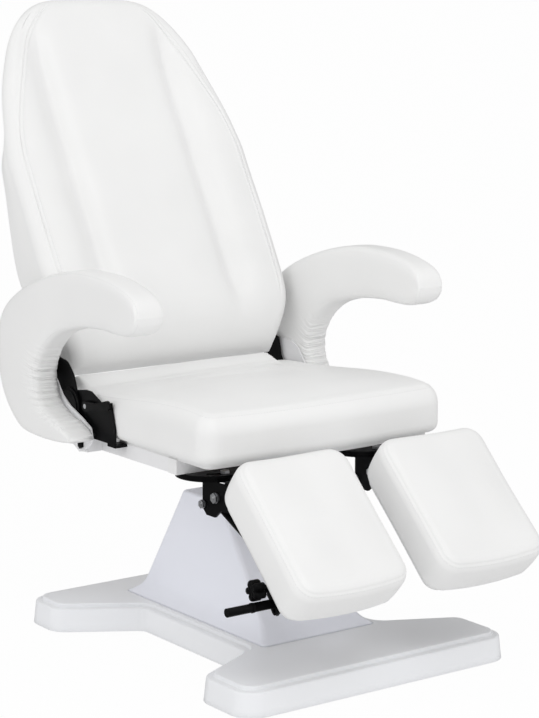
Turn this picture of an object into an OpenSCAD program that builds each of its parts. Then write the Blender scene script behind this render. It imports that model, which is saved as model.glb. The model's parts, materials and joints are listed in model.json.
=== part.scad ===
// Podiatry chair: a hydraulic lift base, a seat that turns on it, a reclining
// back, two armrests that fold back, and two leg rests that swing out, tilt
// and extend by themselves. The chair faces -Y. The origin is on the floor,
// on the axis of the lift column.

/* [Base] */
// Width of the base across its feet
base_w = 664; // [600:1:700]
// Front of the base, in front of the column
base_front = 484; // [460:1:510]
// Rear of the base, behind the column
base_rear = 336; // [310:1:360]
// Height of the base cover
base_h = 60; // [54:1:70]
// Width of the waist between the feet
waist_w = 344; // [335:1:380]
// Front end of the waist, in front of the column
waist_front = 250; // [230:1:270]
// Rear end of the waist, behind the column
waist_rear = 113; // [100:1:130]
// Straight length at the outer end of a front foot
front_foot_l = 154; // [110:1:160]
// Straight length at the outer end of a rear foot
rear_foot_l = 121; // [100:1:140]
// Radius of the outer corners of the feet
foot_corner_r = 50; // [40:1:70]
// How much the base narrows on each side towards its top
base_draft = 5; // [0:1:8]
// Width of the ledge round the raised panel
ledge_w = 15; // [8:1:20]
// Height of the raised panel above the ledge
ledge_step = 8; // [4:1:10]
// Wall of the base cover
cover_wall = 3; // [2:0.5:4]
// Height of the rubber glides under the base
glide_h = 6; // [4:1:10]
// Width of the square-cut base tubes
base_tube_w = 60; // [40:1:80]

/* [Column] */
// Height of the top of the column shroud
shroud_top_z = 308; // [290:1:330]
// Width of the shroud where its walls meet the base
shroud_foot_w = 240; // [230:1:250]
// Reach of the shroud's foot in front of the column
shroud_foot_front = 258; // [240:1:270]
// Reach of the shroud's foot behind the column
shroud_foot_rear = 212; // [200:1:225]
// Width of the flat top of the shroud
shroud_top_w = 198; // [180:1:210]
// Length of the flat top of the shroud
shroud_top_l = 148; // [130:1:160]
// Spread of the flare at the shroud's foot
flare_w = 22; // [15:1:30]
// Height of the flare
flare_h = 46; // [30:1:60]
// Wall of the shroud
shroud_wall = 3; // [2:0.5:4]
// Radius of the pump's cylinder
pump_r = 44; // [40:1:50]
// Radius of the ram
ram_r = 25; // [20:1:28]
// Full travel of the lift
lift_travel = 150; // [120:1:160]
// Length of the pump pedal from its pin to the middle of its pad
pedal_l = 165; // [150:1:180]
// Width of the pedal pad
pedal_pad_w = 84; // [60:1:90]
// Length of the pedal pad
pedal_pad_l = 70; // [50:1:80]

/* [Seat] */
// Height of the underside of the seat frame
frame_z = 410; // [400:1:430]
// Size of the square frame tube
tube = 30; // [25:1:35]
// Wall of the frame tube
tube_wall = 2; // [1.5:0.5:3]
// Distance between the outer faces of the side rails
rail_span = 550; // [530:1:560]
// Front end of the side rails, in front of the column
rail_front = 177; // [170:1:190]
// Rear cross tube's middle, behind the column
rear_tube_y = 118; // [105:1:125]
// Width of the seat cushion
seat_w = 599; // [590:1:600]
// Front of the cushion at its corners, in front of the column
seat_front = 308; // [290:1:314]
// Rear of the cushion, behind the column
seat_rear = 243; // [225:1:246]
// Thickness of the cushion in the middle
seat_t = 100; // [85:1:104]
// Thickness of the seat board
board_t = 8; // [6:1:10]

/* [Back] */
// Lean of the back from upright, in degrees
back_lean = 30; // [30:1:30]
// Recline pivot, behind the column
pivot_y = 175; // [170:1:180]
// Height of the recline pivot
pivot_z = 497; // [492:1:502]
// Greatest width of the back cushion
back_w = 606; // [580:1:610]
// Start of the cushion above the pivot, along the back
back_start = 80; // [78:1:90]
// Length of the back cushion
back_l = 846; // [800:1:880]
// Greatest thickness of the back cushion
back_t = 122; // [110:1:130]
// Front face of the cushion in front of the pivot
back_face = 50; // [44:1:52]
// Thickness of the panel behind the cushion
panel_t = 10; // [6:1:12]
// Distance of each sewn channel from the middle
channel_x = 166; // [150:1:180]
// Depth of the sewn channels
channel_depth = 12; // [6:1:16]
// Size of the square back frame tube
back_tube = 25; // [20:1:28]

/* [Armrests] */
// Length of an armrest from its tip to its rear
armrest_l = 551; // [540:1:590]
// Height of an armrest from its lower end to its top
armrest_h = 360; // [350:1:380]
// Height of the lowest point of an armrest pad
armrest_z = 437; // [432:1:444]
// Tip of the armrest in front of the column
armrest_front = 196; // [185:1:215]
// Thickness of the armrest pad across the chair
armrest_w = 68; // [60:1:80]
// Thickness of the armrest's steel plate
plate_t = 3; // [2:0.5:4]

/* [Leg rests] */
// Distance of each leg mechanism from the middle of the chair
leg_x = 191; // [188:1:194]
// Swing pivot in front of the column
swing_y = 165; // [160:1:168]
// Radius of the round swing plates
swing_r = 71; // [66:1:74]
// Tilt pivot in front of the column
tilt_y = 234; // [230:1:238]
// Height of the tilt pivot
tilt_z = 368; // [362:1:372]
// Angle of the leg rest below level, in degrees
leg_tilt = 44; // [44:1:44]
// Width of a leg pad
leg_pad_w = 263; // [245:1:270]
// Length of a leg pad
leg_pad_l = 318; // [280:1:330]
// Thickness of a leg pad over its board
leg_pad_t = 103; // [90:1:105]
// How far the mechanism stands outboard of the pad's middle
leg_pad_offset = 20; // [15:1:30]
// Start of the pad in front of the tilt pivot, along the leg
pad_lead = 36; // [34:1:44]
// Underside of the pad's board above the tilt pivot
pad_rise = 103; // [98:1:106]
// Size of the square leg tube
leg_tube = 40; // [36:1:42]
// Length of the leg tube
leg_tube_l = 262; // [250:1:270]
// Full extension of a leg rest
leg_travel = 100; // [60:1:110]
// Radius of the star knob
knob_r = 21; // [18:1:23]
// Length of the round grip of the release lever
grip_l = 60; // [56:1:80]
// Radius of the round grip
grip_r = 8.5; // [7:0.5:9]

/* [Hidden] */
$fn = 48;

// Overrun of a cut past the face that it opens
over = 1;
// Radial clearance of a pin or a shaft in its bore
running = 0.08;
// Side clearance between plates that turn past each other
side_gap = 0.5;
// Clearance of a soft pad from a rigid neighbour
soft_gap = 0.3;
left = -1;
right = 1;
white = "white";
pale = "whitesmoke";
shroud_white = "lavender";
black = [0.07, 0.07, 0.08];
zinc = "silver";

// Straight mix of two values
function mix(a, b, t) = a + (b - a) * t;
// Smooth curve through evenly spaced control values, at share t of its length
function through(p, t) =
    let (n = len(p) - 1, k = min(floor(t * n), n - 1), f = t * n - k,
        a = p[max(k - 1, 0)], b = p[k], c = p[k + 1], d = p[min(k + 2, n)])
    b + ((c - a) * f + (2 * a - 5 * b + 4 * c - d) * f * f + (3 * b - a - 3 * c + d) * f * f * f) / 2;
// Points of a quarter circle
function corner(x, y, r, start, n) =
    [for (i = [0:n]) [x + r * cos(start + 90 * i / n), y + r * sin(start + 90 * i / n)]];
// Points between two corners, bowed out to their right
function bowed(a, b, bow, n) =
    let (d = b - a, l = norm(d), out = [d[1], -d[0]] / l)
    [for (i = [1:n - 1]) let (t = i / n) a + d * t + out * bow * 4 * t * (1 - t)];
// Anticlockwise outline of a rounded box with bowed sides, in the order front,
// right, rear and left
function soft_outline(hx, y0, y1, r, bows, nc, ns) =
    concat(corner(hx - r, y0 + r, r, -90, nc),
        bowed([hx, y0 + r], [hx, y1 - r], bows[1], ns),
        corner(hx - r, y1 - r, r, 0, nc),
        bowed([hx - r, y1], [r - hx, y1], bows[2], ns),
        corner(r - hx, y1 - r, r, 90, nc),
        bowed([-hx, y1 - r], [-hx, y0 + r], bows[3], ns),
        corner(r - hx, y0 + r, r, 180, nc),
        bowed([r - hx, y0], [hx - r, y0], bows[0], ns));
function at_height(pts, z) = [for (p = pts) [p[0], p[1], z]];
function middle(ring) = [for (i = [0:2]) let (v = [for (p = ring) p[i]]) total(v) / len(v)];
function total(v, i = 0) = i < len(v) ? v[i] + total(v, i + 1) : 0;

// Closed skin over a stack of rings with equal numbers of points
module skin(rings) {
    n = len(rings[0]);
    m = len(rings);
    points = concat([for (r = rings) each r], [middle(rings[0])], [middle(rings[m - 1])]);
    sides = [for (i = [0:m - 2], j = [0:n - 1])
        let (a = i * n + j, b = i * n + (j + 1) % n)
        each [[a, a + n, b + n], [a, b + n, b]]];
    ends = [for (j = [0:n - 1])
        let (k = (j + 1) % n)
        each [[m * n, j, k], [m * n + 1, (m - 1) * n + k, (m - 1) * n + j]]];
    polyhedron(concat(points), concat(sides, ends), convexity = 6);
}

// Upholstered block: rounded lower edge, swelling side, rounded upper edge and
// a crowned top, thicker towards the front by the given slope
module upholstered(outline, t, low_r, top_r, crown, swell, slope) {
    side = t - crown - top_r - low_r;
    low = [for (a = [0:30:90]) [low_r * (1 - sin(a)), low_r * (1 - cos(a))]];
    flank = [for (s = side_shares) [-swell * 4 * s * (1 - s), low_r + side * s]];
    upper = [for (a = [0:18:72]) [top_r * (1 - cos(a)), t - crown - top_r + top_r * sin(a)]];
    edge = concat(low, flank, upper);
    edge_rings = [for (e = edge) at_height(call_outline(outline, e[0], e[1] / t), e[1])];
    rim = call_outline(outline, top_r);
    c = [0, (outline[1] + outline[2]) / 2];
    half = [outline[0], (outline[2] - outline[1]) / 2] - [top_r, top_r];
    tops = [for (s = crown_shares) [for (p = rim)
        let (x = s * (p[0] - c[0]), y = s * (p[1] - c[1]))
        [c[0] + x, c[1] + y, t - crown + crown * dome(x / half[0]) * dome(y / half[1])]]];
    floor_ring = [for (p = edge_rings[0]) [mix(c[0], p[0], floor_share), mix(c[1], p[1], floor_share), 0]];
    skin([for (ring = concat([floor_ring], edge_rings, tops))
        [for (p = ring) [p[0], p[1], p[2] * (1 - slope * (p[1] - c[1]) / half[1])]]]);
}
function dome(v) = max(0, 1 - v * v);
side_shares = [0.25, 0.5, 0.75];
crown_shares = [0.97, 0.8, 0.55, 0.25];
floor_share = 0.6;
// An outline is [half width, front, rear, corner radius, bows, corner and side
// counts, lean of the rear edge]
function call_outline(o, inset, h = 1) =
    soft_outline(o[0] - inset, o[1] + inset, o[2] - inset - o[7] * (1 - h), max(o[3] - inset, o[3] / 2),
        o[4], o[5], o[6]);

// Square tube along X, from x0 to x1, its lower front corner at y and z
module tube_x(x0, x1, y, z, size, wall) {
    difference() {
        translate([x0, y, z]) cube([x1 - x0, size, size]);
        translate([x0 - over, y + wall, z + wall])
            cube([x1 - x0 + 2 * over, size - 2 * wall, size - 2 * wall]);
    }
}
// Square tube along Y
module tube_y(y0, y1, x, z, size, wall) {
    difference() {
        translate([x, y0, z]) cube([size, y1 - y0, size]);
        translate([x + wall, y0 - over, z + wall])
            cube([size - 2 * wall, y1 - y0 + 2 * over, size - 2 * wall]);
    }
}
// Flat outline that wraps two circles with straight flanks
module link_outline(a, ra, b, rb) {
    d = b - a;
    along = atan2(d[1], d[0]);
    spread = acos((ra - rb) / norm(d));
    up = along + spread;
    down = along - spread;
    ka = ra * flank_share;
    kb = rb * flank_share;
    translate(a) circle(ra);
    translate(b) circle(rb);
    polygon([a + ka * [cos(up), sin(up)], a + ka * [cos(down), sin(down)],
        b + kb * [cos(down), sin(down)], b + kb * [cos(up), sin(up)]]);
}
// The flanks lie a little inside the circles, so that they cross them cleanly
flank_share = 0.97;
// Turns a flat outline in Y and Z into a plate from x0 to x1
module plate_x(x0, x1) {
    translate([x0, 0, 0]) rotate([90, 0, 90]) linear_extrude(x1 - x0) children();
}
// Hexagon head or nut along +X, its flat face at the origin
module hexagon(across, h) {
    rotate([0, 90, 0]) cylinder(h = h, d = across / cos(30), $fn = 6);
}
// Round bar along X
module bar_x(x0, x1, r) {
    translate([x0, 0, 0]) rotate([0, 90, 0]) cylinder(h = x1 - x0, r = r);
}
// Parts are drawn for the right side and mirrored for the left
module on_side(side) {
    mirror([side == left ? 1 : 0, 0, 0]) children();
}

// Base

glide_r = 19;
base_tube_wall = 3;
base_tube_top = base_h - cover_wall;
base_plate_l = 300;
base_plate_w = 250;
base_plate_t = 6;
pump_hole_w = 200;
foot_inset = ledge_w + base_draft + cover_wall + base_tube_w / 2;
foot_y = [foot_inset - base_front, base_rear - foot_inset];
foot_tube_l = base_w - 2 * (ledge_w + cover_wall) - 2 * foot_corner_r;
waist_blend_r = 26;
cover_lift = 3;
rim_r = 5;

function base_points() =
    let (hw = base_w / 2, ww = waist_w / 2, a = -base_front, b = front_foot_l - base_front,
        c = base_rear - rear_foot_l, d = base_rear)
    [[hw, a], [hw, b], [ww, -waist_front], [ww, waist_rear], [hw, c], [hw, d],
        [-hw, d], [-hw, c], [-ww, waist_rear], [-ww, -waist_front], [-hw, b], [-hw, a]];

module base_outline(inset) {
    offset(delta = -inset)
        offset(r = -waist_blend_r) offset(delta = waist_blend_r)
            offset(r = foot_corner_r) offset(delta = -foot_corner_r)
                polygon(base_points());
}
// One layer of the cover between two heights
module base_layer(inset, z0, z1) {
    translate([0, 0, z0]) linear_extrude(z1 - z0) base_outline(inset, $fn = 32);
}
// Wall that narrows upwards in steps and ends in a rounded upper edge
module drafted_layer(inset, z0, z1, draft, r) {
    for (k = [0:draft_steps - 1])
        base_layer(inset + draft * k / draft_steps, mix(z0, z1 - r, k / draft_steps), z1 - r);
    for (a = [20:30:80])
        base_layer(inset + draft + r * (1 - cos(a)), z1 - r - over, z1 - r + r * sin(a));
}
draft_steps = 3;

module base_cover() {
    color(white) difference() {
        union() {
            drafted_layer(0, cover_lift, base_h - ledge_step, base_draft, rim_r);
            drafted_layer(base_draft + ledge_w, base_h - ledge_step - over, base_h, 0, rim_r / 2);
        }
        base_layer(cover_wall + base_draft, 0, base_h - ledge_step - cover_wall);
        base_layer(base_draft + ledge_w + cover_wall, 0, base_h - cover_wall);
        translate([-pump_hole_w / 2, -pump_hole_w / 2, 0])
            cube([pump_hole_w, pump_hole_w, base_h + over]);
    }
}

// Rectangular tubes under the cover: a foot at each end, two rails between them
// and a plate between the rails, welded a little way into the tube walls
module base_frame() {
    h = base_tube_top - glide_h;
    w = base_tube_w;
    wall = base_tube_wall;
    rail_start = foot_y[0] + w / 2 - over;
    rail_l = foot_y[1] - foot_y[0] - w + 2 * over;
    plate_x0 = base_plate_w / 2 - w + over;
    color("gray") difference() {
        union() {
            for (y = foot_y) translate([-foot_tube_l / 2, y - w / 2, glide_h]) difference() {
                cube([foot_tube_l, w, h]);
                translate([-over, wall, wall]) cube([foot_tube_l + 2 * over, w - 2 * wall, h - 2 * wall]);
            }
            for (x = [-base_plate_w / 2, base_plate_w / 2 - w]) translate([x, rail_start, glide_h]) difference() {
                cube([w, rail_l, h]);
                translate([wall, -over, wall]) cube([w - 2 * wall, rail_l + 2 * over, h - 2 * wall]);
            }
            translate([-plate_x0, -base_plate_l / 2, base_tube_top - base_plate_t])
                cube([2 * plate_x0, base_plate_l, base_plate_t]);
        }
        // The pump's foot sits in a round seat in the plate
        translate([0, 0, base_tube_top - base_plate_t - over])
            cylinder(h = base_plate_t + 2 * over, r = pump_r + running);
        pump_bolt_places() cylinder(h = 3 * base_plate_t, r = pump_bolt_r + running, center = true);
    }
}

module base_glides() {
    color(black)
        for (x = [-1, 1], y = foot_y)
            translate([x * (foot_tube_l / 2 - glide_r), y, 0]) {
                cylinder(h = glide_h / 2, r1 = glide_r - glide_h / 3, r2 = glide_r);
                translate([0, 0, glide_h / 2]) cylinder(h = glide_h / 2, r = glide_r);
            }
}

// Column

shroud_corner_r = 16;
slot_w = 34;
slot_z = 74;
slot_h = 46;
function shroud_ring(z, inset) =
    let (t = (z - base_h) / (shroud_top_z - base_h),
        f = max(0, 1 - (z - base_h) / flare_h), out = flare_w * f * f * f - inset)
    at_height(soft_outline(
        mix(shroud_foot_w, shroud_top_w, t) / 2 + out,
        -mix(shroud_foot_front, shroud_top_l / 2, t) - out,
        mix(shroud_foot_rear, shroud_top_l / 2, t) + out,
        shroud_corner_r, [0, 0, 0, 0], 4, 2), z);
shroud_levels_shares = [0, 0.02, 0.045, 0.08, 0.12, 0.183, 0.5, 0.985, 1];

module column_shroud() {
    height = shroud_top_z - base_h;
    outer = [for (s = shroud_levels_shares) shroud_ring(base_h + height * s, s == 1 ? shroud_wall : 0)];
    inner = [for (s = [0, 0.045, 0.12, 1])
        let (ring = shroud_ring(base_h + (height - shroud_wall) * s, shroud_wall))
        s == 0 ? [for (p = ring) [p[0], p[1], base_h - over]] : ring];
    color(shroud_white) difference() {
        skin(outer);
        skin(inner);
        translate([0, 0, shroud_top_z - 2 * shroud_wall])
            cylinder(h = 3 * shroud_wall, r = collar_r);
        translate([0, -slot_w / 2, slot_z]) cube([shroud_foot_w, slot_w, slot_h]);
    }
}

collar_r = 40;
collar_flange = 6;
collar_h = 8;
module shroud_collar() {
    color(black) difference() {
        union() {
            translate([0, 0, shroud_top_z - shroud_wall]) cylinder(h = collar_h, r = collar_r - running);
            translate([0, 0, shroud_top_z]) cylinder(h = collar_h - shroud_wall, r = collar_r + collar_flange);
        }
        translate([0, 0, shroud_top_z - shroud_wall - over])
            cylinder(h = collar_h + 2 * over, r = ram_r + side_gap);
    }
}

pump_flange_r = 72;
pump_flange_t = 8;
pump_top = shroud_top_z - 2 * collar_h;
pump_floor = 70;
pump_bolt_r = 5;
pump_bolt_ring = 60;
module pump_bolt_places() {
    for (a = [45:90:315])
        translate([pump_bolt_ring * cos(a), pump_bolt_ring * sin(a), base_tube_top]) children();
}
pedal_x = 92;
pedal_z = 96;
pedal_ear_t = 6;
pedal_ear_r = 12;
pedal_pin_r = 5;
pedal_bar_r = 7;
pedal_bar_l = 2 * pedal_ear_r;
module pump_body() {
    color("dimgray") difference() {
        union() {
            translate([0, 0, base_tube_top]) cylinder(h = pump_flange_t, r = pump_flange_r);
            translate([0, 0, base_tube_top - base_plate_t])
                cylinder(h = pump_top - base_tube_top + base_plate_t, r = pump_r);
            translate([0, 0, pump_top - collar_h]) cylinder(h = collar_h, r = pump_r + collar_flange / 2);
            for (y = [-pedal_bar_r - side_gap - pedal_ear_t, pedal_bar_r + side_gap])
                translate([0, y + pedal_ear_t, 0]) rotate([90, 0, 0]) linear_extrude(pedal_ear_t)
                    difference() {
                        link_outline([pump_r - pedal_ear_r, pedal_z], pedal_ear_r, [pedal_x, pedal_z], pedal_ear_r);
                        translate([pedal_x, pedal_z]) circle(pedal_pin_r + running);
                    }
        }
        translate([0, 0, pump_floor]) cylinder(h = pump_top, r = ram_r + running);
        pump_bolt_places() cylinder(h = 3 * pump_flange_t, r = pump_bolt_r + running, center = true);
    }
}
module pump_bolts() {
    color(zinc) pump_bolt_places() {
        translate([0, 0, -base_plate_t]) cylinder(h = pump_flange_t + base_plate_t, r = pump_bolt_r);
        translate([0, 0, pump_flange_t]) cylinder(h = pump_bolt_r, d = 4 * pump_bolt_r / sqrt(3), $fn = 6);
    }
}
module pedal_pin() {
    reach = pedal_bar_r + side_gap + pedal_ear_t;
    color(zinc) translate([pedal_x, 0, pedal_z]) rotate([90, 0, 0]) {
        cylinder(h = 2 * reach + pedal_pin_r, r = pedal_pin_r, center = true);
        for (z = [-1, 1]) translate([0, 0, z * (reach + pedal_pin_r / 2)])
            cylinder(h = pedal_pin_r - side_gap, r = pedal_pin_r * 1.5, center = true);
    }
}
module pedal_lever() {
    pad_x = pedal_x + pedal_l;
    color(black) difference() {
        union() {
            translate([pedal_x, 0, pedal_z]) rotate([90, 0, 0])
                cylinder(h = 2 * pedal_bar_r, r = pedal_ear_r, center = true);
            translate([pedal_x, 0, pedal_z]) rotate([0, 90, 0])
                cylinder(h = pedal_l + pedal_pad_l / 2 - pedal_bar_r, r = pedal_bar_r);
            translate([pad_x - pedal_pad_l / 2, -pedal_pad_w / 2, pedal_z + pedal_bar_r])
                cube([pedal_pad_l, pedal_pad_w, plate_t]);
        }
        translate([pedal_x, 0, pedal_z]) rotate([90, 0, 0])
            cylinder(h = 3 * pedal_bar_r, r = pedal_pin_r + running, center = true);
    }
}
pad_rubber = 5;
pedal_ribs = 6;
module pedal_pad() {
    x0 = pedal_x + pedal_l - pedal_pad_l / 2;
    z0 = pedal_z + pedal_bar_r + plate_t;
    pitch = pedal_pad_l / (pedal_ribs + 1 / 2);
    color(black) {
        translate([x0, -pedal_pad_w / 2, z0]) cube([pedal_pad_l, pedal_pad_w, pad_rubber / 2]);
        for (i = [0:pedal_ribs])
            translate([x0 + i * pitch, -pedal_pad_w / 2, z0])
                cube([pitch / 2, pedal_pad_w, pad_rubber]);
    }
}

// Ram and seat frame

// Plates beside the seat, from the cushion outwards
leaf_gap = 1;
leaf_t = 3;
// The lower leaves pass the seat and the rails, and the arms pass the back
base_leaf_x = leaf_gap + max(seat_w / 2, rail_span / 2, back_w / 2 - leaf_t - side_gap);
arm_leaf_x = base_leaf_x + leaf_t + side_gap;
recliner_cover_x = arm_leaf_x + leaf_t + side_gap;
recliner_cover_t = 4;
rest_plate_x = recliner_cover_x + recliner_cover_t + side_gap;
ram_floor = pump_floor + collar_h;
hub_plate_t = 8;
hub_w = 180;
hub_r = 38;
hub_drop = 66;
ram_top = frame_z - hub_plate_t - side_gap;
module ram() {
    color("gainsboro") translate([0, 0, ram_floor]) cylinder(h = ram_top - ram_floor, r = ram_r);
}

spine_x = 62;
rib_t = 6;
module seat_hub() {
    color(pale) difference() {
        union() {
            translate([-hub_w / 2, -hub_w / 2, frame_z - hub_plate_t]) cube([hub_w, hub_w, hub_plate_t]);
            translate([0, 0, frame_z - hub_drop]) cylinder(h = hub_drop - hub_plate_t, r = hub_r);
            for (a = [45:90:315]) rotate([90, 0, a]) translate([0, 0, -rib_t / 2]) linear_extrude(rib_t)
                polygon([[hub_r - rib_t, frame_z - hub_drop + rib_t], [hub_r, frame_z - hub_drop + rib_t],
                    [hub_w / 2, frame_z - hub_plate_t], [hub_r - rib_t, frame_z - hub_plate_t]]);
        }
        translate([0, 0, frame_z - hub_drop - over])
            cylinder(h = hub_drop - hub_plate_t + over, r = ram_r + running);
        hub_bolt_places() cylinder(h = 4 * hub_plate_t, r = hub_bolt_r + running, center = true);
    }
}
hub_bolt_r = 4;
module hub_bolt_places() {
    for (x = [-1, 1], y = [-1, 1])
        translate([x * (spine_x + tube / 2), y * (hub_w / 2 - tube / 2), frame_z - hub_plate_t]) children();
}
module hub_bolts() {
    color(zinc) hub_bolt_places() {
        cylinder(h = hub_plate_t, r = hub_bolt_r);
        translate([0, 0, -hub_bolt_r]) cylinder(h = hub_bolt_r, d = 4 * hub_bolt_r / sqrt(3), $fn = 6);
    }
}

stub_reach = rest_plate_x - side_gap;
module seat_rails() {
    inner = rail_span / 2 - tube;
    y0 = tube - rail_front;
    y1 = rear_tube_y - tube / 2;
    color(pale) {
        for (x = [-rail_span / 2, inner]) tube_y(y0, y1, x, frame_z, tube, tube_wall);
        for (x = [-spine_x - tube, spine_x]) tube_y(y0, y1, x, frame_z, tube, tube_wall);
    }
}
module seat_cross_tubes() {
    color(pale) {
        tube_x(-rail_span / 2, rail_span / 2, -rail_front, frame_z, tube, tube_wall);
        tube_x(-stub_reach, stub_reach, rear_tube_y - tube / 2, frame_z, tube, tube_wall);
    }
}
plug_t = 3;
// Plugs in the ends of the cross tubes; the rear ones hold the armrest pins
module tube_plugs() {
    inner = tube - 2 * tube_wall;
    z = frame_z + tube_wall;
    deep = 20;
    color(white) for (side = [left, right]) on_side(side) {
        translate([rail_span / 2, -rail_front, frame_z]) cube([plug_t, tube, tube]);
        translate([rail_span / 2 - deep, tube_wall - rail_front, z]) cube([deep, inner, inner]);
        difference() {
            translate([stub_reach - deep, rear_tube_y - inner / 2, z]) cube([deep, inner, inner]);
            translate([stub_reach - deep, rear_tube_y, armrest_pivot_z])
                bar_x(-over, deep + over, armrest_pin_r + running);
        }
    }
}

board_inset = 26;
board_rail_inset = 1.5;
module seat_board() {
    color("burlywood") translate([0, 0, frame_z + tube]) linear_extrude(board_t)
        polygon(soft_outline(rail_span / 2 - board_rail_inset, board_inset - seat_front, seat_rear - board_inset,
            seat_corner_r, [seat_bow, 0, 0, 0], 5, 3));
}
seat_corner_r = 40;
seat_bow = 10;
seat_crown = 10;
seat_low_r = 12;
seat_top_r = 28;
seat_slope = 0.08;
module seat_cushion() {
    color(white) translate([0, 0, frame_z + tube + board_t + soft_gap])
        upholstered([seat_w / 2, -seat_front, seat_rear, seat_corner_r, [seat_bow, 0, 0, 0], 6, 5, 0],
            seat_t, seat_low_r, seat_top_r, seat_crown, 0, seat_slope);
}

// Recline hinges, on the outside of the cushion

leaf_z = frame_z + tube;
hinge_r = 38;
plain_hinge_r = 18;
foot_t = 6;
recliner_pin_r = 7;
// Lower leaf, as shares of its reach in front of the pivot and of its drop below
leaf_reach = 168;
leaf_drop = pivot_z - leaf_z;
leaf_shares = [[-1, 1], [-1, 0.48], [-0.95, -0.08], [-0.92, -0.5], [-0.85, -0.42], [-0.75, -0.33],
    [-0.62, -0.48], [-0.46, -0.7], [-0.34, -0.71], [-0.15, -0.62], [0, 0], [-0.06, 0.5], [-0.3, 0.75],
    [-0.45, 1]];
plain_leaf_shares = [[-1, 1], [-0.98, 0.4], [-0.6, 0.1], [-0.05, -0.25], [0.05, 0.25], [-0.3, 0.75],
    [-0.45, 1]];
module recliner_base(side) {
    shares = side == left ? leaf_shares : plain_leaf_shares;
    foot_y = pivot_y - leaf_reach;
    color(black) on_side(side) difference() {
        union() {
            plate_x(base_leaf_x, base_leaf_x + leaf_t) translate([pivot_y, pivot_z]) {
                circle(side == left ? hinge_r : plain_hinge_r);
                polygon([for (p = shares) [p[0] * leaf_reach, -p[1] * leaf_drop]]);
            }
            // Foot that carries the leaf on the side rail
            translate([rail_span / 2, foot_y, leaf_z - foot_t])
                cube([base_leaf_x + leaf_t - rail_span / 2, tube, foot_t]);
        }
        translate([0, pivot_y, pivot_z]) bar_x(base_leaf_x - over, base_leaf_x + leaf_t + over, recliner_pin_r + running);
        if (side == left) handle_place() bar_x(base_leaf_x - over, base_leaf_x + leaf_t + over, handle_pin_r + running);
    }
}
// Cover cap over each pivot, with a raised boss; the left one is the larger
module recliner_cover(side) {
    r = side == left ? hinge_r : plain_hinge_r;
    color(black) on_side(side) difference() {
        translate([0, pivot_y, pivot_z]) {
            bar_x(recliner_cover_x, recliner_cover_x + recliner_cover_t / 2, r);
            bar_x(recliner_cover_x, recliner_cover_x + recliner_cover_t, r * 0.8);
        }
        translate([0, pivot_y, pivot_z])
            bar_x(recliner_cover_x - over, recliner_cover_x + recliner_cover_t + over, recliner_pin_r + running);
    }
}
handle_pin_r = 5;
// The handle's pivot in front of the recline pivot and above it
handle_lead = 64;
handle_lift = 8;
module handle_place() translate([0, pivot_y - handle_lead, pivot_z + handle_lift]) children();
module recliner_pins() {
    color(zinc) {
        for (side = [left, right]) on_side(side) translate([0, pivot_y, pivot_z])
            bar_x(base_leaf_x, recliner_cover_x + recliner_cover_t, recliner_pin_r);
        on_side(left) handle_place() bar_x(base_leaf_x, recliner_cover_x + recliner_cover_t, handle_pin_r);
    }
}
armrest_pin_r = 5;
armrest_pivot_z = frame_z + tube / 2;
armrest_washer = 3;
module armrest_pins() {
    color(black) for (side = [left, right]) on_side(side)
        translate([0, rear_tube_y, armrest_pivot_z]) {
            bar_x(stub_reach - tube / 2, rest_plate_x + plate_t + side_gap, armrest_pin_r);
            translate([rest_plate_x + plate_t + side_gap, 0, 0]) hexagon(3 * armrest_pin_r, armrest_pin_r);
        }
}
// Release lever of the left recline hinge
handle_l = 84;
handle_rise = 14;
handle_t = 4;
module recliner_handle() {
    x0 = recliner_cover_x;
    heel = [-handle_l * 0.55, handle_rise * 0.4];
    tip = [-handle_l, handle_rise];
    color(black) on_side(left) difference() {
        handle_place() {
            plate_x(x0, x0 + handle_t) link_outline([0, 0], 2.2 * handle_pin_r, heel, 1.4 * handle_pin_r);
            plate_x(x0 - leaf_t / 2, x0 + handle_t) link_outline(heel, 1.6 * handle_pin_r, tip, 2 * handle_pin_r);
        }
        handle_place() bar_x(x0 - over, x0 + handle_t + over, handle_pin_r + running);
    }
}

// Back

back_rear_shares = [1, 1, 1, 1, 0.86, 0.62, 0.47, 0.4, 0.37, 0.35, 0.33];
back_width_shares = [0.83, 0.965, 0.995, 1, 1, 1, 0.975, 0.895, 0.81, 0.705, 0.6];
nose_l = 116;
nose_y = 54;
heel_l = 40;
head_l = 34;
front_x_shares = [-1, -0.965, -0.9, -0.78, -0.68, -0.61, -0.56, -0.51, -0.44, -0.3,
    0, 0.3, 0.44, 0.51, 0.56, 0.61, 0.68, 0.78, 0.9, 0.965, 1];
rear_x_shares = [1, 0.96, 0.7, 0, -0.7, -0.96, -1];
back_edge_r = 24;
back_rear_r = 14;
back_rings = 34;
channel_w = 26;
bolster_h = 8;
module in_back() {
    translate([0, pivot_y, pivot_z]) rotate([-back_lean, 0, 0]) children();
}
// Share of full depth where a rounded end begins, for a distance d from the end
function round_in(d, l) = d >= l ? 1 : sqrt(max(0, 1 - pow(1 - d / l, 2)));
function back_rear(t) = back_t * through(back_rear_shares, t) - back_face;
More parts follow.
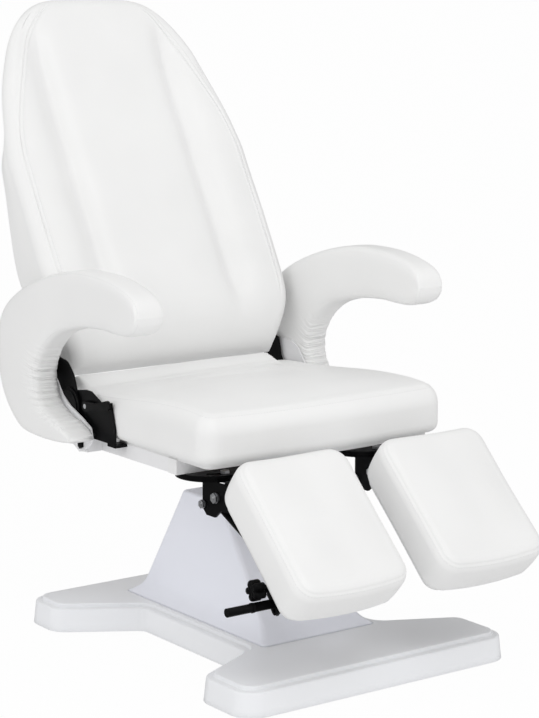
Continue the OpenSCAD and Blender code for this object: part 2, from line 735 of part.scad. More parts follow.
// The head is rounded by the last stretch of its own width curve
function back_half(t) =
    let (l = head_round_share, d = (1 - t) / l)
    back_w / 2 * (t < 1 - l ? through(back_width_shares, t)
        : through(back_width_shares, 1 - l) * sqrt(max(0, 1 - pow(1 - d, 2))));
head_round_share = 0.125;
function back_ring(t) =
    let (u = back_start + back_l * t, hw = back_half(t),
        low = back_l * t, high = back_l * (1 - t),
        nose = round_in(low, nose_l), heel = round_in(low, heel_l), head = round_in(high, head_l),
        mid = mix(-back_face, back_rear(t), 0.5),
        y0 = mix(mid, mix(nose_y, -back_face, nose), head),
        y1 = mix(mid, mix(nose_y, back_rear(t), heel), head),
        deep = y1 - y0,
        ef = min(back_edge_r, deep * 0.45, hw * 0.45), er = min(back_rear_r, deep * 0.3, hw * 0.3),
        soft = nose * head)
    concat(
        [for (s = front_x_shares) [s * hw, y0 + edge(s, hw, ef) + soft * front_form(s * hw, hw), u]],
        [for (s = rear_x_shares) [s * (hw - rear_inset(t)), y1 - edge(s, hw, er), u]]);
// The rear of the head is narrower than its front
function rear_inset(t) = head_inset * max(0, (t - head_inset_share) / (1 - head_inset_share));
head_inset = 18;
head_inset_share = 0.62;
function edge(s, hw, r) = let (d = max(0, (abs(s) - 1) * hw + r) / max(r, over / 10)) r * (1 - sqrt(max(0, 1 - d * d)));
// Sewn channels sink in, and the side bolsters outside them stand proud
function front_form(x, hw) =
    let (d = (abs(x) - channel_x) / channel_w, fade = min(1, max(0, (hw - channel_x) / channel_w - 1)))
    fade * channel_depth * exp(-d * d) - fade * bolster_h * (d > 0 ? 1 - exp(-d * d) : 0);
module back_cushion() {
    color(white) in_back()
        skin([for (k = [1:back_rings - 1]) back_ring(ring_share(k))]);
}
function ring_share(k) = (1 - cos(180 * k / back_rings)) / 2;
panel_inset = 16;
panel_first = 5;
// Curved panel that closes the rear, following the cushion's rear profile
module back_panel() {
    rings = [for (k = [panel_first:back_rings - panel_first + 1])
        let (t = ring_share(k), hw = max(panel_inset, back_half(t) - panel_inset), y = back_rear(t) + soft_gap,
            u = back_start + back_l * t)
        [[-hw, y, u], [hw, y, u], [hw, y + panel_t, u], [-hw, y + panel_t, u]]];
    color(white) in_back() skin(rings);
}
back_bar_x = 190;
low_bar_share = 0.1;
mid_bar_share = 0.34;
// The frame rests on the panel where the panel stands out most
deepest_share = 0.267;
frame_y = back_rear(deepest_share) + soft_gap + panel_t;
// Two uprights behind the panel, a cross tube between the hinge arms and one above it
module back_frame() {
    y = frame_y;
    u0 = back_start + back_l * low_bar_share;
    u1 = back_start + back_l * mid_bar_share;
    color(black) in_back() {
        tube_x(-arm_leaf_x, arm_leaf_x, y, u0, back_tube, tube_wall);
        for (x = [-back_bar_x, back_bar_x - back_tube])
            translate([x, y, u0 + back_tube]) cube([back_tube, back_tube, u1 - u0 - back_tube]);
        translate([-back_bar_x, y, u1]) cube([2 * back_bar_x, back_tube, back_tube]);
    }
}
// Hinge arms from the pivots to the ends of the cross tube: the left one is a
// broad plate, the right one a narrow bent bar
module recliner_arm(side) {
    tube_y = frame_y + back_tube / 2;
    tube_u = back_start + back_l * low_bar_share + back_tube / 2;
    color(black) on_side(side) in_back() difference() {
        plate_x(arm_leaf_x, arm_leaf_x + leaf_t) if (side == left) {
            circle(hinge_r - side_gap);
            polygon([for (p = arm_shares) hinge_r * p]);
            link_outline(hinge_r * arm_shoulder, hinge_r * 0.72, [tube_y, tube_u], back_tube * 0.6);
        } else {
            link_outline([0, 0], plain_hinge_r, arm_elbow, plain_hinge_r * 0.85);
            link_outline(arm_elbow, plain_hinge_r * 0.8, [tube_y, tube_u], back_tube * 0.6);
        }
        bar_x(arm_leaf_x - over, arm_leaf_x + leaf_t + over, recliner_pin_r + running);
    }
}
arm_shares = [[-0.98, 0], [-1.18, 1.28], [-1.05, 1.85], [-0.7, 2.28], [0.1, 2.5], [1, 0.2]];
arm_shoulder = [-0.3, 1.8];
// Bend of the right arm, behind the pivot and up the back
elbow_back = 82;
elbow_up = 46;
arm_elbow = [elbow_back, elbow_up];

// Armrests

pad_x = rest_plate_x + plate_t + soft_gap;
// Inner and outer edge of the pad along its bend, from the tip, as shares of its
// length and height, with the share of its thickness
armrest_shares = [
    [0.016, 0.800, 0.000, 0.856, 0.55], [0.048, 0.747, 0.027, 0.933, 0.85],
    [0.125, 0.714, 0.111, 0.978, 0.97], [0.241, 0.703, 0.259, 1.000, 1],
    [0.366, 0.689, 0.402, 1.000, 1], [0.464, 0.661, 0.545, 0.969, 1],
    [0.554, 0.619, 0.696, 0.906, 1], [0.630, 0.547, 0.839, 0.817, 1],
    [0.680, 0.467, 0.938, 0.717, 1], [0.709, 0.383, 0.988, 0.597, 1],
    [0.714, 0.311, 1.000, 0.453, 1], [0.705, 0.244, 0.991, 0.328, 1],
    [0.684, 0.194, 0.966, 0.217, 1], [0.652, 0.158, 0.912, 0.111, 1],
    [0.607, 0.133, 0.827, 0.022, 1], [0.559, 0.111, 0.705, 0.000, 1],
    [0.512, 0.086, 0.571, 0.003, 0.97], [0.477, 0.050, 0.470, 0.017, 0.85]];
armrest_steps = 40;
section_points = 16;
section_power = 0.5;
function bulged(v) = sign(v) * pow(abs(v), section_power);
function armrest_ring(t) =
    let (r = through(armrest_shares, t), w = armrest_w / 2)
    [for (j = [0:section_points - 1])
        let (a = 360 * (j + 0.5) / section_points, v = 0.5 + 0.5 * bulged(cos(a)), x = r[4] * bulged(sin(a)))
        [pad_x + w + w * x, mix(r[0], r[2], v) * armrest_l - armrest_front,
            armrest_z + mix(r[1], r[3], v) * armrest_h]];
module armrest_pad(side) {
    color(white) on_side(side) skin([for (k = [0:armrest_steps]) armrest_ring(k / armrest_steps)]);
}
// Steel plate on the pad's inner face, as shares of the pad's length and height
plate_outline_shares = [[0.523, -0.042], [0.492, 0.011], [0.505, 0.078], [0.561, 0.119], [0.653, 0.172], [0.704, 0.222],
    [0.748, 0.306], [0.793, 0.350], [0.846, 0.356], [0.918, 0.333], [0.958, 0.250], [0.933, 0.111],
    [0.809, 0.000], [0.628, -0.050], [0.588, -0.081]];
module armrest_plate(side) {
    color(white) on_side(side) difference() {
        plate_x(rest_plate_x, rest_plate_x + plate_t) union() {
            polygon([for (p = plate_outline_shares)
                [p[0] * armrest_l - armrest_front, armrest_z + p[1] * armrest_h]]);
            translate([rear_tube_y, armrest_pivot_z]) circle(tube / 2);
        }
        translate([rest_plate_x, rear_tube_y, armrest_pivot_z])
            bar_x(-over, plate_t + over, armrest_pin_r + running);
    }
}

// Leg rests: swing plates and brackets

swing_t = 6;
swing_pin_r = 6;
slot_ring = 52;
slot_span = 35;
slot_margin = 7;
swing_bolt_r = 5;
// Fixed round plate under the frame, with an arc slot for the clamp bolt
module swing_disc(side) {
    color(black) on_side(side) translate([leg_x, -swing_y, frame_z - swing_t]) difference() {
        cylinder(h = swing_t, r = swing_r);
        translate([0, 0, -over]) cylinder(h = swing_t + 2 * over, r = swing_pin_r + running);
        translate([0, 0, -over]) rotate([0, 0, -90 - slot_margin]) rotate_extrude(angle = slot_span + 2 * slot_margin)
            translate([slot_ring - swing_bolt_r - side_gap, 0])
                square([2 * (swing_bolt_r + side_gap), swing_t + 2 * over]);
        translate([disc_screw_x, 0, -over]) cylinder(h = swing_t + 2 * over, r = swing_bolt_r + running);
        translate([-disc_screw_x, 0, -over]) cylinder(h = swing_t + 2 * over, r = swing_bolt_r + running);
    }
}
disc_screw_x = 52;
cheek_t = 4;
cheek_x = leg_tube / 2;
ear_x = cheek_x + cheek_t + side_gap;
ear_t = 5;
ear_rear = 48;
ear_front = 54;
ear_low = 42;
// The turning plate is this much smaller than the fixed disc
bracket_margin = 2;
tilt_pin_r = 5;
strut_pin_y = 188;
strut_pin_z = 347;
strut_pin_r = 4;
bracket_top = frame_z - swing_t - side_gap;
// Turning plate with two ears that hold the leg arm
module swing_bracket(side) {
    ear_z = bracket_top - swing_t;
    color(black) on_side(side) difference() {
        union() {
            translate([leg_x, -swing_y, ear_z]) cylinder(h = swing_t, r = swing_r - bracket_margin);
            translate([leg_x - ear_x - ear_t, -tilt_y, ear_z])
                cube([2 * (ear_x + ear_t), tilt_y - swing_y, swing_t]);
            for (x = [leg_x - ear_x - ear_t, leg_x + ear_x])
                plate_x(x, x + ear_t) polygon([
                    [-tilt_y + ear_rear, ear_z], [-tilt_y - ear_front, ear_z],
                    [-tilt_y - ear_front, tilt_z - ear_low * 0.45], [-tilt_y - ear_front * 0.6, tilt_z - ear_low * 0.6],
                    [-tilt_y - ear_front * 0.2, tilt_z - ear_low * 0.6], [-tilt_y + ear_rear * 0.2, tilt_z - ear_low],
                    [-tilt_y + ear_rear * 0.8, tilt_z - ear_low], [-tilt_y + ear_rear + strut_pin_r, tilt_z - ear_low * 0.7],
                    [-tilt_y + ear_rear + strut_pin_r, ear_z]]);
        }
        translate([leg_x, -swing_y, ear_z - over]) cylinder(h = swing_t + 2 * over, r = swing_pin_r + running);
        translate([leg_x, -swing_y - slot_ring, ear_z - over])
            cylinder(h = swing_t + 2 * over, r = swing_bolt_r + running);
        translate([leg_x, -tilt_y, tilt_z])
            bar_x(-ear_x - ear_t - over, ear_x + ear_t + over, tilt_pin_r + running);
        translate([leg_x, -strut_pin_y, strut_pin_z])
            bar_x(-ear_x - ear_t - over, ear_x + ear_t + over, strut_pin_r + running);
    }
}
// The pin that the bracket turns on, held by the frame, and the disc's two screws
module swing_bolts(side) {
    head = 5;
    color(zinc) on_side(side) translate([leg_x, -swing_y, 0]) {
        translate([0, 0, bracket_top - swing_t - side_gap])
            cylinder(h = frame_z - bracket_top + swing_t + side_gap, r = swing_pin_r);
        translate([0, 0, bracket_top - swing_t - side_gap - head])
            cylinder(h = head, r = 2 * swing_pin_r, $fn = 6);
        for (x = [-disc_screw_x, disc_screw_x]) translate([x, 0, frame_z - swing_t])
            cylinder(h = swing_t, r = swing_bolt_r);
    }
}
// Tilt pin and strut pin across the ears, and the bolt that clamps the swing in
// the disc's slot
module tilt_pins(side) {
    reach = ear_x + ear_t;
    low = bracket_top - swing_t;
    color(zinc) on_side(side) {
        translate([leg_x, -swing_y - slot_ring, 0]) {
            translate([0, 0, low]) cylinder(h = frame_z + side_gap - low + swing_bolt_r, r = swing_bolt_r);
            translate([0, 0, low - swing_bolt_r]) cylinder(h = swing_bolt_r, r = 2 * swing_bolt_r, $fn = 6);
            translate([0, 0, frame_z + side_gap]) cylinder(h = swing_bolt_r, r = 2 * swing_bolt_r, $fn = 6);
        }
        translate([leg_x, -tilt_y, tilt_z]) {
            bar_x(-reach, reach, tilt_pin_r);
            translate([reach, 0, 0]) hexagon(3 * tilt_pin_r, tilt_pin_r);
            translate([-reach - tilt_pin_r, 0, 0]) hexagon(3 * tilt_pin_r, tilt_pin_r);
        }
        translate([leg_x, -strut_pin_y, strut_pin_z]) {
            bar_x(-reach, reach, strut_pin_r);
            translate([reach, 0, 0]) hexagon(3 * strut_pin_r, strut_pin_r);
            translate([-reach - strut_pin_r, 0, 0]) hexagon(3 * strut_pin_r, strut_pin_r);
        }
    }
}

// Leg rests: the leg's own frame has the tilt pivot as its origin, -Y along the
// leg and +Z square to the pad

tube_glide = 4;
leg_tube_z = pad_rise - tube_glide - leg_tube;
leg_tube_start = 33;
leg_wall = 2.5;
module on_leg(side) {
    on_side(side) translate([leg_x, -tilt_y, tilt_z]) rotate([leg_tilt, 0, 0]) children();
}
cheek_r = 17;
outrigger_x = 66;
outrigger_t = 5;
outrigger_y = 256;
outrigger_l = 34;
knob_y = 252;
lever_pivot_y = 292;
strut_end_y = 228;
// How far the knob, the lever's pivot and the strut's head lie below the board
knob_drop = 27;
lever_drop = 44;
strut_drop = 66;
knob_z = pad_rise - knob_drop;
lever_pivot_z = pad_rise - lever_drop;
strut_end_z = pad_rise - strut_drop;
lug_t = 4;
lug_x = 11;
stud_r = 4;
module leg_arm(side) {
    low = leg_tube_z;
    color(black) on_leg(side) difference() {
        union() {
            translate([-leg_tube / 2, -leg_tube_start - leg_tube_l, low]) cube([leg_tube, leg_tube_l, leg_tube]);
            // Gooseneck cheeks from the tilt pin up to the tube
            for (x = [-cheek_x - cheek_t, cheek_x]) plate_x(x, x + cheek_t) {
                link_outline([0, 0], cheek_r, [-leg_tube_start - cheek_r, low + leg_tube / 2], leg_tube / 2 - over);
                link_outline([-leg_tube_start - cheek_r, low + leg_tube / 2], leg_tube / 2 - 3 * over,
                    [-leg_tube_start - 4 * cheek_r, low + leg_tube / 2], leg_tube / 4);
            }
            // Lugs for the strut's head
            for (x = [-lug_x - lug_t, lug_x]) plate_x(x, x + lug_t)
                polygon([[-strut_end_y - leg_tube / 2, low + over / 2], [-strut_end_y + leg_tube / 2, low + over / 2],
                    [-strut_end_y + leg_tube / 4, strut_end_z - leg_tube / 4],
                    [-strut_end_y - leg_tube / 4, strut_end_z - leg_tube / 4]]);
            // Outrigger under the tube, its end turned up to carry the knob and the lever
            translate([-leg_tube / 2, -outrigger_y - outrigger_l, low - outrigger_t])
                cube([leg_tube / 2 + outrigger_x, outrigger_l, outrigger_t]);
            plate_x(outrigger_x, outrigger_x + outrigger_t) polygon([
                [-outrigger_y, low - outrigger_t], [-outrigger_y - outrigger_l, low - outrigger_t],
                [-lever_pivot_y - 2 * stud_r, lever_pivot_z - 2 * stud_r], [-lever_pivot_y - 2 * stud_r, lever_pivot_z + 2 * stud_r],
                [-knob_y - 2 * stud_r, knob_z + 3 * stud_r], [-knob_y + 3 * stud_r, knob_z + 3 * stud_r],
                [-knob_y + 3 * stud_r, knob_z - 3 * stud_r]]);
        }
        translate([-slide_w / 2 - side_gap, -leg_tube_start - leg_tube_l - over, low + leg_wall])
            cube([slide_w + 2 * side_gap, leg_tube_l - leg_wall + over, leg_tube - 2 * leg_wall]);
        bar_x(-ear_x, ear_x, tilt_pin_r + running);
        translate([0, -knob_y, knob_z]) bar_x(0, outrigger_x + outrigger_t + over, stud_r + running);
        translate([0, -lever_pivot_y, lever_pivot_z])
            bar_x(outrigger_x - over, outrigger_x + outrigger_t + over, stud_r + running);
    }
}
slide_w = leg_tube - 2 * leg_wall - 2 * side_gap;
slide_h = leg_tube - 2 * leg_wall - 2 * side_gap;
slide_in = 175;
slide_end = 26;
// Inner tube with an end bracket that turns up to the pad's board
module leg_slide(side) {
    z = leg_tube_z + leg_wall + side_gap;
    tail = leg_tube_start + leg_tube_l;
    color("gainsboro") on_leg(side) {
        difference() {
            translate([-slide_w / 2, -tail - slide_end, z]) cube([slide_w, slide_in + slide_end, slide_h]);
            translate([-slide_w / 2 + leg_wall, -tail - slide_end - over, z + leg_wall])
                cube([slide_w - 2 * leg_wall, slide_in + slide_end - leg_wall, slide_h - 2 * leg_wall]);
        }
        translate([-slide_w, -tail - slide_end, z + slide_h]) cube([2 * slide_w, slide_end - side_gap - over, pad_rise - z - slide_h]);
    }
}
leg_board_t = 9;
leg_board_inset = 14;
leg_corner_r = 40;
leg_low_r = 14;
leg_top_r = 22;
leg_crown = 12;
leg_swell = 1;
leg_bow = 6;
function leg_outline() = [leg_pad_w / 2, -pad_lead - leg_pad_l, -pad_lead, leg_corner_r,
    [leg_bow, 0, 0, 0], 5, 4, leg_lean];
leg_lean = 16;
module leg_board(side) {
    color("burlywood") on_leg(side) translate([-leg_pad_offset, 0, pad_rise]) linear_extrude(leg_board_t)
        polygon(call_outline(leg_outline(), leg_board_inset, 0));
}
module leg_pad(side) {
    color(white) on_leg(side) translate([-leg_pad_offset, 0, pad_rise + leg_board_t + soft_gap])
        upholstered(leg_outline(), leg_pad_t, leg_low_r, leg_top_r, leg_crown, leg_swell, 0);
}
// Gas strut between the bracket and the leg, in the leg's frame
strut_r = 9;
strut_rod_r = 4;
strut_start = rotated([tilt_y - strut_pin_y, strut_pin_z - tilt_z], -leg_tilt);
strut_stop = [-strut_end_y, strut_end_z];
strut_length = norm(strut_stop - strut_start);
strut_body_l = 150;
function rotated(p, a) = [p[0] * cos(a) - p[1] * sin(a), p[0] * sin(a) + p[1] * cos(a)];
module on_strut(side) {
    d = strut_stop - strut_start;
    on_leg(side) translate([0, strut_start[0], strut_start[1]]) rotate([atan2(d[1], d[0]) + 180, 0, 0]) children();
}
eye_r = 8;
module strut_cylinder(side) {
    color(black) on_strut(side) difference() {
        union() {
            bar_x(-strut_r, strut_r, eye_r);
            rotate([90, 0, 0]) cylinder(h = strut_body_l, r = strut_r);
        }
        bar_x(-2 * strut_r, 2 * strut_r, strut_pin_r + running);
        translate([0, -strut_body_l / 6, 0]) rotate([90, 0, 0]) cylinder(h = strut_body_l, r = strut_rod_r + running);
    }
}
module strut_rod(side) {
    head = 16;
    head_gap = 2;
    color("gainsboro") on_strut(side) {
        translate([0, -strut_body_l / 3, 0]) rotate([90, 0, 0])
            cylinder(h = strut_length - strut_body_l / 3, r = strut_rod_r);
        translate([head_gap - lug_x, -strut_length - head / 2, -eye_r])
            cube([2 * (lug_x - head_gap), head, 2 * eye_r]);
    }
}
knob_t = 24;
knob_gap = 22;
knob_lobes = 5;
// Star knob with five lobes; its long stud, drawn backed off, clamps the slide
module star_knob(side) {
    x0 = outrigger_x + outrigger_t + knob_gap;
    lobe = knob_r * 0.36;
    color(black) on_leg(side) translate([0, -knob_y, knob_z]) {
        bar_x((leg_tube - leg_wall) / 2, x0 + knob_t / 4, stud_r);
        bar_x(x0 - knob_gap / 2, x0 + knob_t / 3, knob_r * 0.4);
        plate_x(x0, x0 + knob_t) {
            circle(knob_r - lobe * 0.8);
            for (i = [0:knob_lobes - 1]) rotate([0, 0, 90 + 360 * i / knob_lobes])
                translate([knob_r - lobe, 0]) circle(lobe);
        }
    }
}
lever_w = 18;
lever_t = 4;
bar_reach = 42;
grip_y = 278;
grip_drop = 42;
grip_z = pad_rise - grip_drop;
// Lever plate on the outrigger, bent outwards into the bar that holds the grip
module release_lever(side) {
    x0 = outrigger_x + outrigger_t + side_gap;
    color(black) on_leg(side) {
        difference() {
            plate_x(x0, x0 + lever_t)
                link_outline([-grip_y, grip_z], lever_w / 2, [-lever_pivot_y, lever_pivot_z], lever_w / 2);
            translate([0, -lever_pivot_y, lever_pivot_z]) bar_x(x0 - over, x0 + lever_t + over, stud_r + running);
        }
        translate([x0, -grip_y - lever_w / 2, grip_z - lever_t / 2])
            cube([bar_reach + lever_t, lever_w, lever_t]);
    }
}
module lever_grip(side) {
    x0 = outrigger_x + outrigger_t + side_gap + lever_t + bar_reach;
    color(black) on_leg(side) translate([x0, -grip_y, grip_z]) {
        bar_x(0, grip_l, grip_r);
        bar_x(0, grip_l / 12, grip_r * 1.15);
    }
}

base_frame();
base_cover();
base_glides();
column_shroud();
shroud_collar();
pump_body();
pump_bolts();
pedal_pin();
pedal_lever();
pedal_pad();
ram();
seat_hub();
seat_rails();
seat_cross_tubes();
tube_plugs();
seat_board();
seat_cushion();
hub_bolts();
swing_disc(left);  // swing_disc_left
swing_disc(right);  // swing_disc_right
recliner_base(left);  // recliner_base_left
recliner_base(right);  // recliner_base_right
recliner_cover(left);  // recliner_cover_left
recliner_cover(right);  // recliner_cover_right
recliner_pins();
armrest_pins();
recliner_handle();
recliner_arm(left);  // recliner_arm_left
recliner_arm(right);  // recliner_arm_right
back_frame();
back_panel();
back_cushion();
armrest_plate(left);  // armrest_plate_left
armrest_plate(right);  // armrest_plate_right
armrest_pad(left);  // armrest_pad_left
armrest_pad(right);  // armrest_pad_right
swing_bracket(left);  // swing_bracket_left
swing_bracket(right);  // swing_bracket_right
swing_bolts(left);  // swing_bolts_left
swing_bolts(right);  // swing_bolts_right
tilt_pins(left);  // tilt_pins_left
tilt_pins(right);  // tilt_pins_right
leg_arm(left);  // leg_arm_left
leg_arm(right);  // leg_arm_right
strut_cylinder(left);  // strut_cylinder_left
strut_cylinder(right);  // strut_cylinder_right
strut_rod(left);  // strut_rod_left
strut_rod(right);  // strut_rod_right
leg_slide(left);  // leg_slide_left
leg_slide(right);  // leg_slide_right
leg_board(left);  // leg_board_left
leg_board(right);  // leg_board_right
leg_pad(left);  // leg_pad_left
leg_pad(right);  // leg_pad_right
star_knob(left);  // star_knob_left
star_knob(right);  // star_knob_right
release_lever(left);  // release_lever_left
release_lever(right);  // release_lever_right
lever_grip(left);  // lever_grip_left
lever_grip(right);  // lever_grip_right
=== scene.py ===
# A podiatry chair in white imitation leather: a lift base, a turning seat, a
# reclining back, two folding armrests and two leg rests. Lengths are in metres
# and every piece is worked out in place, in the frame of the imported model.
import json
import math

import bpy
import numpy as np
from mathutils import Matrix, Vector


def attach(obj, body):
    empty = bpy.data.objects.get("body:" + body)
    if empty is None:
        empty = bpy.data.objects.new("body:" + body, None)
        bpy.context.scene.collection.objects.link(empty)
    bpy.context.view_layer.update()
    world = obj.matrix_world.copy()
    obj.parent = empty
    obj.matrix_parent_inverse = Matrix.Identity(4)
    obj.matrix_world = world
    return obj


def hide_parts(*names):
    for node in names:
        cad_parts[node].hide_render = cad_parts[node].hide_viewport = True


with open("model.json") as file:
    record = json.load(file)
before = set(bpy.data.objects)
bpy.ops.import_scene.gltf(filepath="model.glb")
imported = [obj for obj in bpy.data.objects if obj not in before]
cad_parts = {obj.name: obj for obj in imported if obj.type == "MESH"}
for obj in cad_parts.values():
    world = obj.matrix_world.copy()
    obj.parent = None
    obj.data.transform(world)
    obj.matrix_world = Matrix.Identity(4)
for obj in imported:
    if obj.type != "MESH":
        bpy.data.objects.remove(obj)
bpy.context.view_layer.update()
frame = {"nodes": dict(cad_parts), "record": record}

# The view: a long lens a little above the seat, in front of the chair and to
# its left, as in the photograph.
camera_place = Vector((-2.5900, -3.6680, 1.3785))
view_right = Vector((0.80902, -0.58779, 0.0))
view_up = Vector((0.10207, 0.14049, 0.98481))
camera_data = bpy.data.cameras.new("view")
camera_data.lens = 110
camera_data.sensor_width = 36
camera = bpy.data.objects.new("view", camera_data)
bpy.context.scene.collection.objects.link(camera)
turn = Matrix((view_right, view_up, view_right.cross(view_up))).transposed()
camera.matrix_world = Matrix.Translation(camera_place) @ turn.to_4x4()
bpy.context.scene.camera = camera


# Back cushion: one long foam pad on a curved panel, covered in smooth white
# imitation leather. Two sewn channels part the middle from the side bolsters,
# and a stitched seam joins the front panel to the band round the edge.
back_lean = math.radians(30)
recline_pivot = np.array([0.0, 0.175, 0.497])
back_w = 0.606
back_start = 0.080
back_l = 0.842
back_t = 0.122
back_face = 0.050
back_rear_shares = [1, 1, 1, 1, 0.86, 0.62, 0.47, 0.4, 0.37, 0.35, 0.33]
back_width_shares = [0.86, 0.97, 0.995, 1, 1, 1]
nose_l = 0.116
nose_y = 0.054
heel_l = 0.040
head_l = 0.034
shoulder_share = 0.45
shoulder_power = 1.15
head_lean = 0.013
lean_share = 0.72
head_inset = 0.022
inset_shares = (0.54, 0.72)
channel_x = 0.158
channel_in_w = 0.022
channel_out_w = 0.040
channel_depth = 0.018
channel_power = 1.6
channel_foot_shares = (0.03, 0.2)
channel_head_shares = (0.82, 0.955)
bolster_h = 0.009
edge_fall = 0.010
edge_fall_share = 0.66
back_edge_r = 0.026
back_rear_r = 0.014
back_swell = 0.002


def through(values, t):
    """Smooth curve through evenly spaced rows of values, at shares t of its length."""
    rows = np.asarray(values, float)
    rows = rows[:, None] if rows.ndim == 1 else rows
    last = len(rows) - 1
    k = np.clip(np.floor(t * last).astype(int), 0, last - 1)
    f = (t * last - k)[:, None]
    a, b = rows[np.maximum(k - 1, 0)], rows[k]
    c, d = rows[k + 1], rows[np.minimum(k + 2, last)]
    out = b + ((c - a) * f + (2 * a - 5 * b + 4 * c - d) * f ** 2 + (3 * b - a - 3 * c + d) * f ** 3) / 2
    return out[:, 0] if np.asarray(values).ndim == 1 else out


def rounded_in(distance, length):
    """Height of a quarter ellipse that starts at an end: 0 there, and 1 after length."""
    return np.sqrt(np.clip(1 - np.clip(1 - distance / length, 0, 1) ** 2, 0, 1))


def bell(x, width):
    """Bell curve: 1 at x = 0, and 1/e at x = width."""
    return np.exp(-(x / width) ** 2)


def ramp(x, low, high):
    """Smooth step from 0 at low to 1 at high."""
    s = np.clip((x - low) / (high - low), 0, 1)
    return s * s * (3 - 2 * s)


def grid_normals(points):
    """Unit normals of a grid of points whose columns close on themselves: the
    cross product of the differences along the columns and the rows."""
    along = np.gradient(points, axis=0)
    round_ = (np.roll(points, -1, axis=1) - np.roll(points, 1, axis=1)) / 2
    normal = np.cross(round_, along)
    length = np.linalg.norm(normal, axis=2, keepdims=True)
    normal = normal / np.maximum(length, 1e-12)
    centre = points.mean(axis=(0, 1))
    outward = np.sum((points - centre) * normal) > 0
    return normal if outward else -normal


def new_piece(name, vertices, faces, body, smooth=True):
    """Mesh object from arrays, riding on a body."""
    mesh = bpy.data.meshes.new(name)
    mesh.from_pydata(vertices.tolist(), [], faces)
    mesh.validate()
    mesh.update()
    piece = bpy.data.objects.new(name, mesh)
    bpy.context.scene.collection.objects.link(piece)
    mesh.polygons.foreach_set("use_smooth", [smooth] * len(mesh.polygons))
    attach(piece, body)
    return piece


def skin_faces(rows, columns, first=0):
    """Quads of a grid whose columns close on themselves."""
    i, j = np.meshgrid(np.arange(rows - 1), np.arange(columns), indexing="ij")
    k = (j + 1) % columns
    quads = np.stack([i * columns + j, i * columns + k, (i + 1) * columns + k, (i + 1) * columns + j], -1)
    return (quads.reshape(-1, 4) + first)


def closed_skin(name, points, body, smooth=True):
    """Closed piece over a grid of rings, with a fan at each end. The sign of its
    volume, the sum of a dot b cross c over its triangles, tells which way out is."""
    rows, columns = points.shape[:2]
    vertices = np.vstack([points.reshape(-1, 3), points[0].mean(0), points[-1].mean(0)])
    quads = skin_faces(rows, columns)
    j = np.arange(columns)
    k = (j + 1) % columns
    end = rows * columns
    low = np.stack([np.full(columns, end), k, j], -1)
    high = np.stack([np.full(columns, end + 1), (rows - 1) * columns + j, (rows - 1) * columns + k], -1)
    a, b, c = (vertices[quads[:, n]] for n in (0, 1, 2))
    d = vertices[quads[:, 3]]
    volume = np.einsum("ij,ij->", a, np.cross(b, c)) + np.einsum("ij,ij->", a, np.cross(c, d))
    if volume < 0:
        quads, low, high = quads[:, ::-1], low[:, ::-1], high[:, ::-1]
    return new_piece(name, vertices, quads.tolist() + low.tolist() + high.tolist(), body, smooth)


class Value:
    """A number that a shader works out: arithmetic on it adds Math nodes."""

    def __init__(self, tree, socket):
        self.tree, self.socket = tree, socket

    def math(self, operation, *others):
        """One Math node on this value and the others, which may be numbers."""
        node = self.tree.nodes.new("ShaderNodeMath")
        node.operation = operation
        for place, item in zip(node.inputs, (self,) + others):
            if isinstance(item, Value):
                self.tree.links.new(item.socket, place)
            else:
                place.default_value = item
        return Value(self.tree, node.outputs[0])

    def __add__(self, other):
        return self.math("ADD", other)

    def __radd__(self, other):
        return self.math("ADD", other)

    def __mul__(self, other):
        return self.math("MULTIPLY", other)

    def __rmul__(self, other):
        return self.math("MULTIPLY", other)

    def __sub__(self, other):
        return self.math("SUBTRACT", other)

    def __rsub__(self, other):
        return self.math("MULTIPLY", -1.0).math("ADD", other)

    def clipped(self, low, high):
        """0 below low, 1 above high, straight between them."""
        node = self.tree.nodes.new("ShaderNodeMapRange")
        node.inputs["From Min"].default_value = low
        node.inputs["From Max"].default_value = high
        self.tree.links.new(self.socket, node.inputs["Value"])
        return Value(self.tree, node.outputs[0])


